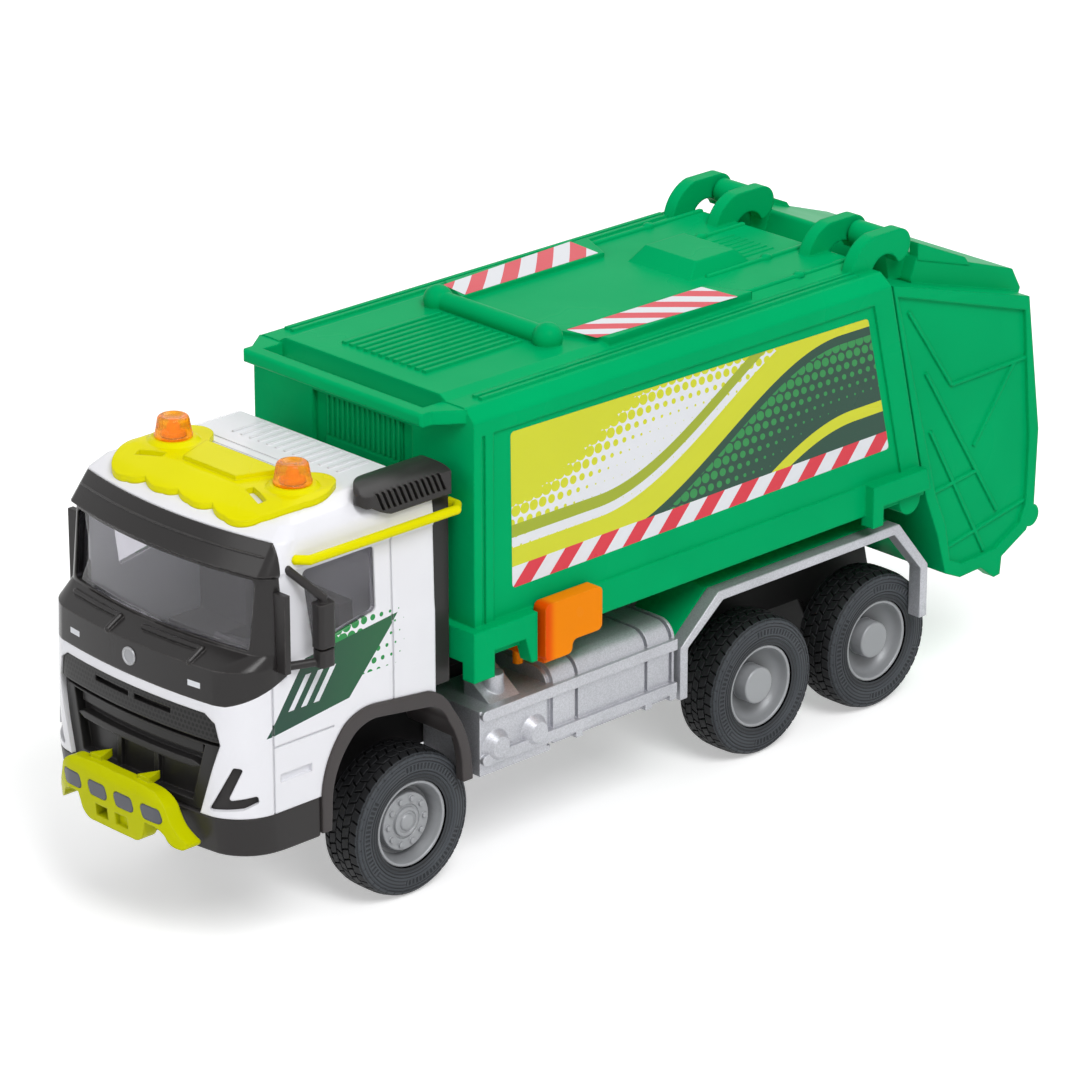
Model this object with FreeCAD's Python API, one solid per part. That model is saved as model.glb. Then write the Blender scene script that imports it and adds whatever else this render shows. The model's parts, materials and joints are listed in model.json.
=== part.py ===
import FreeCAD, Part

import math
import os

# Toy three-axle refuse lorry. +X is forward, +Y is its left side, +Z is up.
# The origin is on the floor, under the middle of the whole length. All lengths are millimetres.

# General
cut_overrun = 1.0
seat_gap = 0.05
plastic_wall = 1.6
metal_wall = 1.5
along_axis_share = 0.999
rod_ball_share = 1.02

# Cab, main sizes
cab_rear_x = 55.3
cab_length = 49.9
cab_half_width = 28.0
cab_low_z = 28.6
cab_height = 54.6
cab_front_x = cab_rear_x + cab_length
cab_top_z = cab_low_z + cab_height

# Wheels and axles
tyre_radius = 14.4
tyre_width = 9.8
tyre_bore_radius = 8.6
tyre_inset = 2.1
tyre_outer_face_y = cab_half_width - tyre_inset
rim_inset = 0.6
rim_lip_width = 0.9
hub_dish_depth = 4.9
hub_face_radius = 6.4
hub_web = 2.2
front_cap_radius = 2.4
front_cap_height = 1.5
rear_cap_radius = 4.3
rear_cap_height = 3.3
wheel_bolt_count = 10
wheel_bolt_circle_radius = 4.7
wheel_bolt_radius = 0.5
wheel_bolt_height = 0.5
cap_side_share = 0.75
cap_top_share = 0.8
axle_pin_radius = 1.2
axle_running_gap = 0.08
front_axle_x = 59.1
rear_axle_spacing = 33.3
rear_axle_setback = 4.5

# Tyre section: across the depth from the bore, and across the width from the inner face
tyre_profile_shares = (
    (0.0, 0.10), (0.27, 0.0), (0.68, 0.0), (0.93, 0.08), (1.0, 0.2),
    (1.0, 0.8), (0.93, 0.92), (0.68, 1.0), (0.27, 1.0), (0.0, 0.93),
)

# Container, main sizes
body_half_width = 30.3
container_front_x = 47.6
container_length = 110.4
container_low_z = 45.3
container_height = 49.9
container_wall = 1.8
container_rear_lean = 12.0
container_rear_top_x = container_front_x - container_length
roof_top_z = container_low_z + container_height
rear_axle_2_x = container_rear_top_x - rear_axle_setback
rear_axle_1_x = rear_axle_2_x + rear_axle_spacing

# Chassis
rail_half_width = 12.0
rail_low_z = 22.0
rail_top_z = 38.0
rail_front_setback = 8.2
rail_rear_overhang = 9.2
rail_rear_slant = 3.6
chassis_tail_gap = 1.0
axle_block_top_length = 20.0
axle_block_low_length = 7.0
axle_block_drop = 3.2
base_recess_depth = 1.2
base_recess_rim = 2.0
base_recess_half_width = 9.0
deck_thickness = 2.0
deck_half_width = 13.0

# Cab sections from low to high: height, then along the length the middle of the front, the front
# corner and where the side starts, then across the half width the corner and the side, then the rear.
cab_section_shares = (
    (0.0, 1.0, 0.968, 0.79, 0.743, 1.0, 0.0),
    (0.396, 0.988, 0.956, 0.78, 0.75, 1.0, 0.0),
    (0.5165, 0.984, 0.952, 0.776, 0.746, 1.0, 0.0),
    (0.5604, 0.888, 0.834, 0.7455, 0.879, 0.993, 0.0),
    (0.8205, 0.86, 0.804, 0.7154, 0.889, 0.982, 0.0),
    (0.8352, 0.876, 0.82, 0.7355, 0.914, 0.996, 0.0),
    (0.934, 0.80, 0.74, 0.6553, 0.904, 0.971, 0.0),
    (0.9707, 0.7355, 0.6854, 0.6152, 0.857, 0.914, 0.016),
    (1.0, 0.6152, 0.5852, 0.535, 0.714, 0.768, 0.06),
)
cab_corner_bulge_share = 0.16
front_zone_share = 0.62
surround_outline_shares = (
    (0.735, 0.934), (0.742, 0.835), (0.72, 0.475), (0.935, 0.396), (1.1, 0.396), (1.1, 0.934),
)
windscreen_outline_shares = (
    (-0.872, 0.571), (-0.882, 0.814), (0.882, 0.814), (0.872, 0.571),
)
windscreen_middle_share = 0.7
side_window_outline_shares = (
    (0.635, 0.82), (0.29, 0.824), (0.287, 0.593), (0.59, 0.542),
)

# Cab glass, seams and roof
glass_thickness = 0.8
glass_inset = 0.35
window_corner_radius = 1.0
window_tool_depth = 4.5
seam_width = 0.35
seam_depth = 0.3
door_rear_seam_share = 0.208
door_rear_seam_top_share = 0.85
door_front_seam_share = 0.79
door_front_seam_top_share = 0.49
corner_seam_z_share = 0.236
corner_seam_rear_share = 0.5
marker_length = 7.4
marker_height = 1.5
marker_rear_share = 0.61
marker_z_share = 0.105
cab_roof_rib_count = 13
cab_roof_rib_pitch = 2.4
cab_roof_rib_width = 0.5
cab_roof_rib_height = 0.25
cab_roof_rib_length = 7.6
cab_roof_rib_setback = 3.8
cab_roof_groove_x_shares = (0.299, 0.345)
cab_roof_groove_half_length = 17.0

# Wipers, lying on the shelf below the windscreen
wiper_radius = 0.6
wiper_y_shares = ((-0.75, -0.23), (0.02, 0.55))
wiper_x_share = 0.922
wiper_sweep = 3.3
wiper_z_share = 0.552
wiper_arm_reach = 3.0
wiper_arm_drop = 1.7

# Cab interior
cab_floor_thickness = 1.5
seat_width = 13.0
seat_depth = 11.0
seat_cushion_height = 5.0
seat_back_height = 17.0
seat_back_thickness = 3.2
seat_centre_y = 13.0
seat_front_share = 0.475
dash_rear_share = 0.72
dash_depth = 9.0
dash_height = 13.0
steering_wheel_radius = 4.6
steering_wheel_tube = 0.7
steering_wheel_tilt = 28.0
steering_wheel_set_share = 0.5

# Grille: outline across the half width and up the height, then its layers
grille_outline_shares = (
    (-0.69, 0.36), (-0.77, 0.333), (-0.805, 0.258), (-0.65, 0.0), (0.65, 0.0), (0.805, 0.258),
    (0.77, 0.333), (0.69, 0.36),
)
grille_wing_inner_shares = ((-0.66, 0.238), (-0.55, 0.03), (0.55, 0.03), (0.66, 0.238))
grille_recess = 2.6
grille_thickness = 1.2
grille_strip_recess = 0.3
grille_strip_low_share = 0.262
grille_gap_low_share = 0.244
grille_wing_recess = 0.8
grille_shelf_recess = 1.7
grille_shelf_z_shares = (0.195, 0.236)
grille_shelf_half_width = 17.0
grille_bar_recess = 0.9
grille_bar_z_share = 0.156
grille_bar_half_height = 0.65
grille_bar_half_width = 15.4
grille_bar_tip = 1.9
grille_post_recess = 1.7
grille_post_width = 1.2
grille_post_y = 5.2
grille_post_low_share = 0.03
grille_slot_height = 1.1
grille_slot_inner_y = 0.8
grille_slot_outer_y = 10.6
grille_slot_z_share = 0.322

# Headlamp slots in the front corners
headlamp_turn = 42.2
headlamp_centre_x_share = 0.895
headlamp_centre_y_share = 0.857
headlamp_start = -5.3
headlamp_width = 9.2
headlamp_height = 9.0
headlamp_rise = 1.0
headlamp_recess = 0.7
headlamp_round = 0.45
headlamp_tool_in = 4.0
headlamp_tool_out = 7.0
headlamp_outline_shares = (
    (0.0, 0.0), (0.707, 0.078), (1.0, 0.211), (0.978, 0.367), (0.402, 0.278), (0.717, 0.967), (0.522, 1.0),
)

# Front wheel arches: places from the axle forward and from the floor up, as shares of the tyre radius.
# The third value marks a point that an arc bends through.
flare_outer_shares = (
    (1.704, 1.478, False), (1.704, 1.785, False), (1.62, 2.36, True), (1.30, 2.85, False),
    (1.06, 2.965, True), (0.80, 2.99, False), (-0.12, 2.885, False), (-0.36, 2.76, True),
    (-0.528, 2.542, False), (-0.73, 2.2, True), (-0.86, 1.78, False), (-0.882, 1.431, False),
)
flare_inner_shares = (
    (1.569, 1.228, False), (1.535, 1.80, False), (1.44, 2.28, True), (1.17, 2.66, False),
    (0.98, 2.765, True), (0.76, 2.79, False), (-0.13, 2.665, False), (-0.33, 2.56, True),
    (-0.46, 2.37, False), (-0.62, 2.05, True), (-0.69, 1.75, False), (-0.722, 1.228, False),
)
flare_top_share = 2.99
flare_front_share = 1.704
flare_proud = 0.5
flare_tyre_gap = 0.5
liner_tyre_gap = 1.3
liner_inner_y = tyre_outer_face_y - tyre_width - liner_tyre_gap
flare_inner_y = tyre_outer_face_y + flare_tyre_gap
flare_outer_y = cab_half_width + flare_proud
liner_thickness = 1.2

# Bumper
bumper_low_z = 20.8
bumper_foot_share = 0.975
bumper_arch_gap = 0.25

# Handrails and air intake
handrail_radius = 0.9
handrail_front_share = 0.665
handrail_z_share = 0.868
handrail_stand_off = 2.4
handrail_bend = 1.8
handrail_right_end_inset = 2.6
intake_outer_proud = 0.6
intake_depth = 9.6
intake_low_z_share = 0.923
intake_height = 5.9
intake_rear_setback = 3.7
intake_length = 21.6
intake_side_shares = (
    (0.0, 0.0, False), (0.68, 0.0, False), (0.78, 0.14, True), (0.9, 0.4, False), (1.0, 0.55, True),
    (1.0, 0.8, False), (0.93, 0.97, True), (0.8, 1.0, False), (0.1, 1.0, False), (0.02, 0.93, True),
    (0.0, 0.78, False),
)
intake_plan_shares = (
    (0.0, 1.0, False), (0.9, 1.0, False), (0.98, 0.9, True), (0.98, 0.7, False), (0.7, 0.16, True),
    (0.0, 0.12, False),
)
intake_crown_radius = 8.4
intake_louvre_count = 12
intake_louvre_pitch = 1.35
intake_louvre_width = 0.7
intake_louvre_depth = 0.9
intake_louvre_lean = 1.6
intake_louvre_front_share = 0.85
intake_louvre_z_shares = (0.18, 0.78)
duct_length = 4.6
duct_width = 3.8
duct_inset = 1.6
duct_gap = 0.3

# Mirrors
mirror_outset = 3.6
mirror_x_share = 0.607
mirror_low_share = 0.505
mirror_head_height = 8.4
mirror_head_length = 3.8
mirror_head_thickness = 3.0
mirror_small_height = 3.2
mirror_small_length = 3.4
mirror_between_gap = 0.5
mirror_round = 0.9
mirror_arm_radius = 0.8
mirror_mount_x_share = 0.703
mirror_mount_top_share = 0.843
mirror_mount_low_share = 0.51
mirror_mount_y_share = 0.985
mirror_blade_thickness = 1.3
mirror_blade_reach = 2.2
mirror_blade_x_share = 0.752
mirror_blade_z_shares = (0.5, 0.775)

# Roof light bar: its front edge has lobes with notches between them
light_bar_inset = 5.1
light_bar_half_width = cab_half_width - light_bar_inset
light_bar_rear_share = 0.3066
light_bar_length = 22.3
light_bar_thickness = 1.2
light_bar_sink = 0.3
light_bar_low_share = 0.9
light_bar_plan_shares = (
    (0.256, 0.0, False), (0.256, 0.393, False), (0.179, 0.507, True), (0.072, 0.585, False), (0.0, 0.734, True),
    (0.063, 0.882, False), (0.26, 0.983, True), (0.511, 1.0, False), (0.758, 0.965, True), (0.924, 0.865, False),
    (0.9955, 0.742, True), (1.0, 0.59, False), (0.991, 0.48, True), (0.955, 0.406, False), (1.0, 0.3, True),
    (0.998, 0.153, False), (0.99, 0.07, True), (0.96, 0.0, False),
)
crest_x_shares = (0.262, 0.63)
crest_half_widths = (10.4, 7.2)
crest_height = 0.9
beacon_inset = 6.4
beacon_centre_y = light_bar_half_width - beacon_inset
beacon_x_share = 0.477
beacon_base_radius = 3.6
beacon_top_radius = 3.0
beacon_height = 4.0
beacon_round = 1.0
beacon_plinth_foot_radius = 6.1
beacon_plinth_radius = 4.2
beacon_plinth_height = 0.7
light_slot_length = 6.0
light_slot_width = 1.6
light_slot_x_share = 0.7
light_slot_inset = 8.3
light_slot_turn = 72.0

# Bull bar
bull_bar_reach = 4.8
bull_bar_depth = 3.2
bull_bar_half_width = 17.8
bull_bar_beam_low_z = 25.4
bull_bar_beam_height = 8.8
bull_bar_sweep = 3.0
bull_bar_foot_reach = 8.4
bull_bar_outline_shares = (
    (0.0, 0.79, False), (0.36, 0.79, True), (0.62, 0.76, False), (0.74, 0.66, True), (0.82, 0.45, False),
    (0.88, 0.12, True), (0.99, -0.24, False), (1.0, -0.34, True), (0.93, -0.4, False), (0.86, -0.34, True),
    (0.8, -0.16, False), (0.74, -0.04, True), (0.66, 0.02, False), (0.53, 0.02, False), (0.50, -0.2, False),
    (0.43, -0.44, True), (0.30, -0.5, False), (0.0, -0.5, False),
)
bull_bar_plan_shares = (
    (0.0, 0.0, True), (0.08, 0.66, False), (0.3, 0.82, True), (1.0, 1.02, False),
)
# Levels of the bar: height above the beam's foot as a share of its height, then setback and depth of the band there
bull_bar_level_shares = (
    (-1.0, 0.3, 1.0), (-0.5, 0.15, 1.0), (0.05, 0.0, 1.0), (0.55, 0.0, 1.0), (0.7, 0.1, 0.9), (0.82, 0.4, 0.6),
)
bull_bar_fin_top_share = 0.88
bull_bar_fin_root_share = 0.75
bull_bar_fin_y = 6.75
bull_bar_fin_half_width = 1.6
bull_bar_fin_height = 1.5
bull_bar_fin_setback = 1.6
bull_bar_hole_y = 2.8
bull_bar_hole_width = 3.4
bull_bar_hole_height = 2.4
bull_bar_hole_drop = 2.9
bull_bar_recess_depth = 1.2
lamp_count = 4
lamp_pitch = 7.4
lamp_half_width = 2.6
lamp_half_height = 1.45
lamp_lean = 0.55
lamp_seat = 0.9
lamp_rise = 2.4
lamp_round = 1.0

# Side tank unit
tank_front_setback = 14.3
tank_front_x = front_axle_x - tank_front_setback
tank_inner_y = deck_half_width + seat_gap
tank_outset = 0.6
tank_outer_y = cab_half_width + tank_outset
tank_low_z = 21.6
tank_box_low_z = 20.5
tank_box_top_z = 33.6
tank_crest_height = 3.6
tank_box_length = 18.1
tank_shoulder = 3.6
tank_bend_share = 0.293
tank_rail_depth = 0.9
tank_rail_height = 2.2
tank_top_rail_low_z = 31.6
tank_mid_rail_low_z = 22.6
tank_groove_width = 0.9
tank_split_width = 1.6
tank_groove_depth = 0.9
tank_groove_x_shares = (0.489, 0.851, 0.98)
tank_foot_width = 1.7
tank_foot_drop = 1.2
tank_knob_radius = 3.2
tank_knob_top_radius = 2.0
tank_knob_height = 0.9
tank_knob_z = 25.9
tank_knob_x_shares = (0.078, 0.27)
filler_x_share = 0.15
filler_length = 7.8
filler_inner_inset = 8.4
filler_outer_inset = 1.4
filler_height = 4.6
filler_cap_radius = 2.1
filler_cap_height = 4.6
filler_cap_inset = 4.6

# Side brackets of the container
front_post_length = 5.0
rear_post_length = 5.4
post_groove_width = 0.8
post_groove_depth = 0.5
container_side_inset = 0.5
container_round = 0.7
container_edge_share = 0.9
front_panel_half_width = 13.7
front_panel_recess = 1.0
front_field_half_width = 10.5
front_field_proud = 0.35
front_band_proud = 0.6
front_band_start_share = 0.62
front_band_height = 2.7
front_panel_rib_count = 15
front_panel_rib_width = 0.5
front_panel_rib_proud = 0.65
front_rib_start_share = 0.7
bracket_proud = 2.2
bracket_rise = 6.5
bracket_bar_height = 4.6
bracket_leg_drop = 9.8
bracket_leg_length = 3.0
front_bracket_length = 13.9
front_sill_height = 6.4
rear_bracket_length = 15.6
rear_bracket_leg_drop = 8.6
boss_radius = 3.0
boss_inset = 4.2
bracket_top_z = container_low_z + bracket_rise
front_bracket_rear_x = container_front_x - front_bracket_length

# Container section across the half width and up the height
container_section_shares = (
    (0.0, 0.0), (1.0, 0.0), (1.0, 0.93), (0.92, 0.98), (0.76, 0.98), (0.7, 1.0), (0.0, 1.0),
)

# Container roof
roof_seam_drop = 4.6
roof_seam_z = roof_top_z - roof_seam_drop
roof_rib_setback = 5.6
roof_rib_length = 24.5
roof_rib_count = 12
roof_rib_pitch = 2.0
roof_rib_width = 1.0
roof_rib_height = 0.5
crossbar_setback = 33.3
crossbar_radius = 1.9
crossbar_ball_radius = 2.9
crossbar_half_length = 15.0
crossbar_rise = 1.2
stripe_panel_inner_y = 13.6
stripe_panel_width = 9.0
stripe_panel_setback = 38.0
stripe_panel_length = 38.2
stripe_panel_slant = 4.0
stripe_panel_height = 0.9
roof_boss_setback = 77.6
roof_boss_length = 17.0
roof_boss_half_width = 8.5
roof_boss_height = 3.0
roof_boss_slope = 3.2
roof_boss_side_slope = 1.6
edge_ridge_inset = 5.7
edge_ridge_width = 0.9
edge_ridge_gap = 1.6
edge_ridge_height = 0.5
lip_reach = 7.8
lip_inset = 5.7
lip_root_share = 0.94
lip_bar_width = 2.6
lip_height = 2.6
lip_top_drop = 1.2
lip_slot_length = 4.8
lip_round = 0.8

# Hinge between container and tailgate
hinge_setback = 7.6
hinge_rise = 2.2
hinge_x = container_rear_top_x - hinge_setback
hinge_z = roof_top_z + hinge_rise
hinge_pin_radius = 1.5
hinge_running_gap = 0.1
hinge_inner_arm_y = 12.6
hinge_outer_arm_inset = 5.9
hinge_outer_arm_y = body_half_width - hinge_outer_arm_inset
hinge_arm_width = 2.8
hinge_arm_tip_radius = 3.4
hinge_arm_foot_inset = 5.8
hinge_arm_foot_length = 5.6
hinge_arm_back_share = 1.9
hinge_arm_bend_share = 0.58
hinge_arm_bend_drop_share = 0.78
hinge_arm_belly_share = 0.4
hinge_lug_radius = 2.6
hinge_lug_side_gap = 0.6
hinge_web_shares = ((-0.3, 0.0), (1.0, 0.0), (3.0, 0.8), (4.0, 1.6), (0.4, 1.4))

# Tailgate
tailgate_gap = 0.5
tailgate_wall = 1.7
tailgate_setback = 1.8
tailgate_length = 44.4
tailgate_start_x = container_rear_top_x - tailgate_setback
tailgate_rear_x = tailgate_start_x - tailgate_length
tailgate_low_z = 24.3
tailgate_top_drop = 3.7
tailgate_height = roof_top_z - tailgate_top_drop - tailgate_low_z
tailgate_rim_width = 2.4
tailgate_panel_inset = 0.8
tailgate_rib_width = 0.8
tailgate_rib_height = 0.45
tailgate_inset_share = 1.2
tailgate_outline_shares = (
    (0.0, 1.0), (0.905, 0.826), (1.0, 0.39), (0.988, 0.142), (0.94, 0.072), (0.75, 0.008), (0.49, 0.0),
    (0.39, 0.03), (0.33, 0.165), (0.235, 0.3),
)
tailgate_rib_shares = (
    ((0.11, 0.9), (0.408, 0.626)),
    ((0.408, 0.626), (0.93, 0.632)),
    ((0.235, 0.69), (0.741, 0.171)),
    ((0.829, 0.63), (0.572, 0.405)),
    ((0.28, 0.3), (0.6, 0.325)),
    ((0.275, 0.5), (0.66, 0.055)),
    ((0.41, 0.11), (0.93, 0.17)),
)
tailgate_foot_shares = ((0.62, 0.012), (0.725, -0.043), (0.765, -0.04), (0.775, 0.02))
tailgate_foot_width = 3.0
tailgate_front_open_share = 0.45
tailgate_front_band_share = 4.0
mouth_low_rise = 5.3
mouth_height = 28.4
mouth_inset = 3.8
mouth_low_z = tailgate_low_z + mouth_low_rise
mouth_half_width = body_half_width - mouth_inset
crown_inset = 5.0
crown_round = 1.0
crown_round_share = 0.87
crown_outline_shares = ((0.222, 0.955), (0.268, 1.036), (0.91, 0.894), (0.968, 0.826), (0.93, 0.76))
crown_ridge_width = 2.2
crown_ridge_shares = ((0.266, 1.02), (0.266, 1.073), (0.581, 0.981), (0.617, 0.95))
packer_thickness = 1.4
packer_lean_share = 0.4
packer_outline_shares = ((0.22, 0.66), (0.5, 0.6), (0.62, 0.42), (0.56, 0.3))

# Bin lifter
lifter_pivot_inset = 1.4
lifter_pivot_rise = 2.4
lifter_pivot_x = tailgate_rear_x + lifter_pivot_inset
lifter_pivot_z = mouth_low_z + lifter_pivot_rise
lifter_shaft_radius = 1.3
lifter_shaft_end_share = 0.7
lifter_lug_radius = 2.4
lifter_arm_y = 14.0
lifter_arm_width = 3.0
lifter_arm_length = 12.0
lifter_arm_depth = 2.4
lifter_arm_straight = 5.6
lifter_hook_reach = 2.6
lifter_hook_tip = 1.0
lifter_hook_height = 3.2
lifter_hook_floor = 1.6

# Lever above the tank
lever_bracket_gap = 1.0
lever_length = 14.7
lever_proud = 3.3
lever_low_drop = 1.1
lever_height = 8.8
lever_leg_length = 7.0
lever_leg_drop = 2.6
lever_stem_radius = 1.0
lever_plate_inset = 7.8
lever_stem_inset = 6.2
lever_round = 1.2

# Rear fender and wheel housing
fender_tyre_gap = 0.4
fender_width = 3.2
fender_inner_y = tyre_outer_face_y + fender_tyre_gap
fender_outer_y = fender_inner_y + fender_width
fender_thickness = 2.0
fender_front_reach = 26.8
fender_rear_reach = 10.5
fender_front_x = rear_axle_1_x + fender_front_reach
fender_rear_x = rear_axle_2_x - fender_rear_reach
fender_leg_low_z = 20.6
fender_top_z = 40.4
fender_outline_shares = (
    (0.0, 0.0), (0.0, 0.55), (0.145, 1.0), (0.87, 1.0), (0.995, 0.45), (0.995, -0.12),
)
fender_offset_shares = ((1.0, 0.0), (1.0, 0.25), (0.6, 1.0), (0.6, 1.0), (1.0, 0.25), (1.0, 0.0))
housing_inner_y = 13.2
housing_thickness = 1.4
housing_post_front_inset = 8.4
housing_post_rear_inset = 14.0
tank_fender_gap = 0.9
tank_rear_x = fender_front_x + tank_fender_gap


def vec(x, y, z):
    return FreeCAD.Vector(x, y, z)


def box(x0, x1, y0, y1, z0, z1):
    """A block between two x, two y and two z places."""
    size = (abs(x1 - x0), abs(y1 - y0), abs(z1 - z0))
    corner = vec(min(x0, x1), min(y0, y1), min(z0, z1))
    return Part.makeBox(size[0], size[1], size[2], corner)


def polygon_face(points):
    return Part.Face(Part.makePolygon(points + [points[0]]))


def prism_y(outline, y0, y1):
    """An outline of (x, z) points carried from y0 to y1."""
    points = [vec(x, y0, z) for x, z in outline]
    return polygon_face(points).extrude(vec(0, y1 - y0, 0))


def prism_x(outline, x0, x1):
    """An outline of (y, z) points carried from x0 to x1."""
    points = [vec(x0, y, z) for y, z in outline]
    return polygon_face(points).extrude(vec(x1 - x0, 0, 0))


def prism_z(outline, z0, z1):
    """An outline of (x, y) points carried from z0 to z1."""
    points = [vec(x, y, z0) for x, y in outline]
    return polygon_face(points).extrude(vec(0, 0, z1 - z0))


def bent_face(points, place):
    """A face from an outline of lines and arcs; a point marked True is one an arc bends through."""
    corners = [place(u, v) for u, v, bends in points]
    count = len(points)
    edges = []
    index = 0
    while index < count:
        following = (index + 1) % count
        if points[following][2]:
            end = (index + 2) % count
            edges.append(Part.Arc(corners[index], corners[following], corners[end]).toShape())
            index += 2
        else:
            edges.append(Part.makeLine(corners[index], corners[following]))
            index += 1
    return Part.Face(Part.Wire(edges))


def bent_prism_y(points, y0, y1):
    return bent_face(points, lambda x, z: vec(x, y0, z)).extrude(vec(0, y1 - y0, 0))


def bent_prism_x(points, x0, x1):
    return bent_face(points, lambda y, z: vec(x0, y, z)).extrude(vec(x1 - x0, 0, 0))


def bent_prism_z(points, z0, z1):
    return bent_face(points, lambda x, y: vec(x, y, z0)).extrude(vec(0, 0, z1 - z0))


def bent_outline(shares, start_u, start_v, size_u, size_v):
    """Outline points with their bend marks, from shares of two sizes."""
    return [(start_u + su * size_u, start_v + sv * size_v, bends) for su, sv, bends in shares]


def both_halves(half, across):
    """A half outline joined with its mirror image; across is the place of the half width, 0 or 1."""
    other = []
    for point in reversed(half):
        if point[across] > 0:
            turned = list(point)
            turned[across] = -point[across]
            other.append(tuple(turned))
    return half + other


def cylinder_x(x0, x1, y, z, radius):
    return Part.makeCylinder(radius, abs(x1 - x0), vec(min(x0, x1), y, z), vec(1, 0, 0))


def cylinder_y(x, z, y0, y1, radius):
    return Part.makeCylinder(radius, abs(y1 - y0), vec(x, min(y0, y1), z), vec(0, 1, 0))


def cylinder_z(x, y, z0, z1, radius):
    return Part.makeCylinder(radius, abs(z1 - z0), vec(x, y, min(z0, z1)), vec(0, 0, 1))


def revolve_about_y(profile, x, z):
    """A profile of (radius, y) points turned about an axis along Y."""
    points = [vec(radius, y, 0) for radius, y in profile]
    solid = polygon_face(points).revolve(vec(0, 0, 0), vec(0, 1, 0), 360)
    solid.translate(vec(x, 0, z))
    return solid


def rod_through(points, radius):
    """A round rod through a row of points, with a ball at every point."""
    solid = Part.makeSphere(radius * rod_ball_share, points[0])
    for start, end in zip(points[:-1], points[1:]):
        step = end.sub(start)
        solid = solid.fuse(Part.makeCylinder(radius, step.Length, start, step))
        solid = solid.fuse(Part.makeSphere(radius * rod_ball_share, end))
    return solid


def mirrored(shape):
    return shape.mirror(vec(0, 0, 0), vec(0, 1, 0))


def fuse_all(shapes):
    result = shapes[0]
    if len(shapes) > 1:
        result = shapes[0].multiFuse(shapes[1:])
    return result.removeSplitter()


def round_edges(shape, radius, chooser):
    """Round the edges that the chooser picks."""
    edges = [edge for edge in shape.Edges if chooser(edge)]
    return shape.makeFillet(radius, edges)


def runs_along(edge, axis):
    """Whether a straight edge runs along one axis, given as 0, 1 or 2."""
    ends = edge.Vertexes
    if len(ends) != 2:
        return False
    step = ends[1].Point.sub(ends[0].Point)
    return abs(step[axis]) > step.Length * along_axis_share


def share_outline(shares, start_x, start_z, length, height):
    """Outline points from shares of a length and a height."""
    return [(start_x + sx * length, start_z + sz * height) for sx, sz in shares]


def save(name, shape):
    shape.exportStep("parts/" + name + ".step")


# Wheels

def tyre(axle_x, side):
    depth = tyre_radius - tyre_bore_radius
    inner_y = tyre_outer_face_y - tyre_width
    profile = []
    for radial_share, width_share in tyre_profile_shares:
        profile.append((tyre_bore_radius + radial_share * depth, inner_y + width_share * tyre_width))
    solid = revolve_about_y(profile, axle_x, tyre_radius)
    return solid if side > 0 else mirrored(solid)


def wheel(axle_x, side, cap_radius, cap_height, bolted):
    """A dished wheel: rim, sloped dish, face with its cap, bore for the axle pin."""
    seat_radius = tyre_bore_radius - seat_gap
    rim_y = tyre_outer_face_y - rim_inset
    face_y = rim_y - hub_dish_depth
    back_y = face_y - hub_web
    inner_y = tyre_outer_face_y - tyre_width + rim_inset
    bore = axle_pin_radius + seat_gap
    lip_radius = seat_radius - rim_lip_width
    profile = [
        (0, back_y),
        (hub_face_radius, back_y),
        (lip_radius, inner_y),
        (seat_radius, inner_y),
        (seat_radius, rim_y),
        (lip_radius, rim_y),
        (hub_face_radius, face_y),
        (cap_radius, face_y),
        (cap_radius, face_y + cap_height * cap_side_share),
        (cap_radius * cap_top_share, face_y + cap_height),
        (0, face_y + cap_height),
    ]
    solid = revolve_about_y(profile, axle_x, tyre_radius)
    if bolted:
        solid = fuse_all([solid] + wheel_bolts(axle_x, face_y))
    pin_hole = cylinder_y(axle_x, tyre_radius, 0, rim_y - hub_dish_depth + seat_gap, bore)
    solid = solid.cut(pin_hole)
    return solid if side > 0 else mirrored(solid)


def wheel_bolts(axle_x, face_y):
    bolts = []
    for index in range(wheel_bolt_count):
        turn = 2 * math.pi * index / wheel_bolt_count
        x = axle_x + wheel_bolt_circle_radius * math.cos(turn)
        z = tyre_radius + wheel_bolt_circle_radius * math.sin(turn)
        bolts.append(cylinder_y(x, z, face_y - seat_gap, face_y + wheel_bolt_height, wheel_bolt_radius))
    return bolts


def axle_pin(axle_x):
    end_y = tyre_outer_face_y - rim_inset - hub_dish_depth
    return cylinder_y(axle_x, tyre_radius, -end_y, end_y, axle_pin_radius)


# Chassis

def axle_block(axle_x):
    """A bearing block that hangs from the beam over the whole width and carries one axle."""
    outline = [
        (axle_x - axle_block_top_length / 2, rail_low_z + deck_thickness),
        (axle_x - axle_block_low_length / 2, tyre_radius - axle_block_drop),
        (axle_x + axle_block_low_length / 2, tyre_radius - axle_block_drop),
        (axle_x + axle_block_top_length / 2, rail_low_z + deck_thickness),
    ]
    return prism_y(outline, -rail_half_width, rail_half_width)


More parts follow.
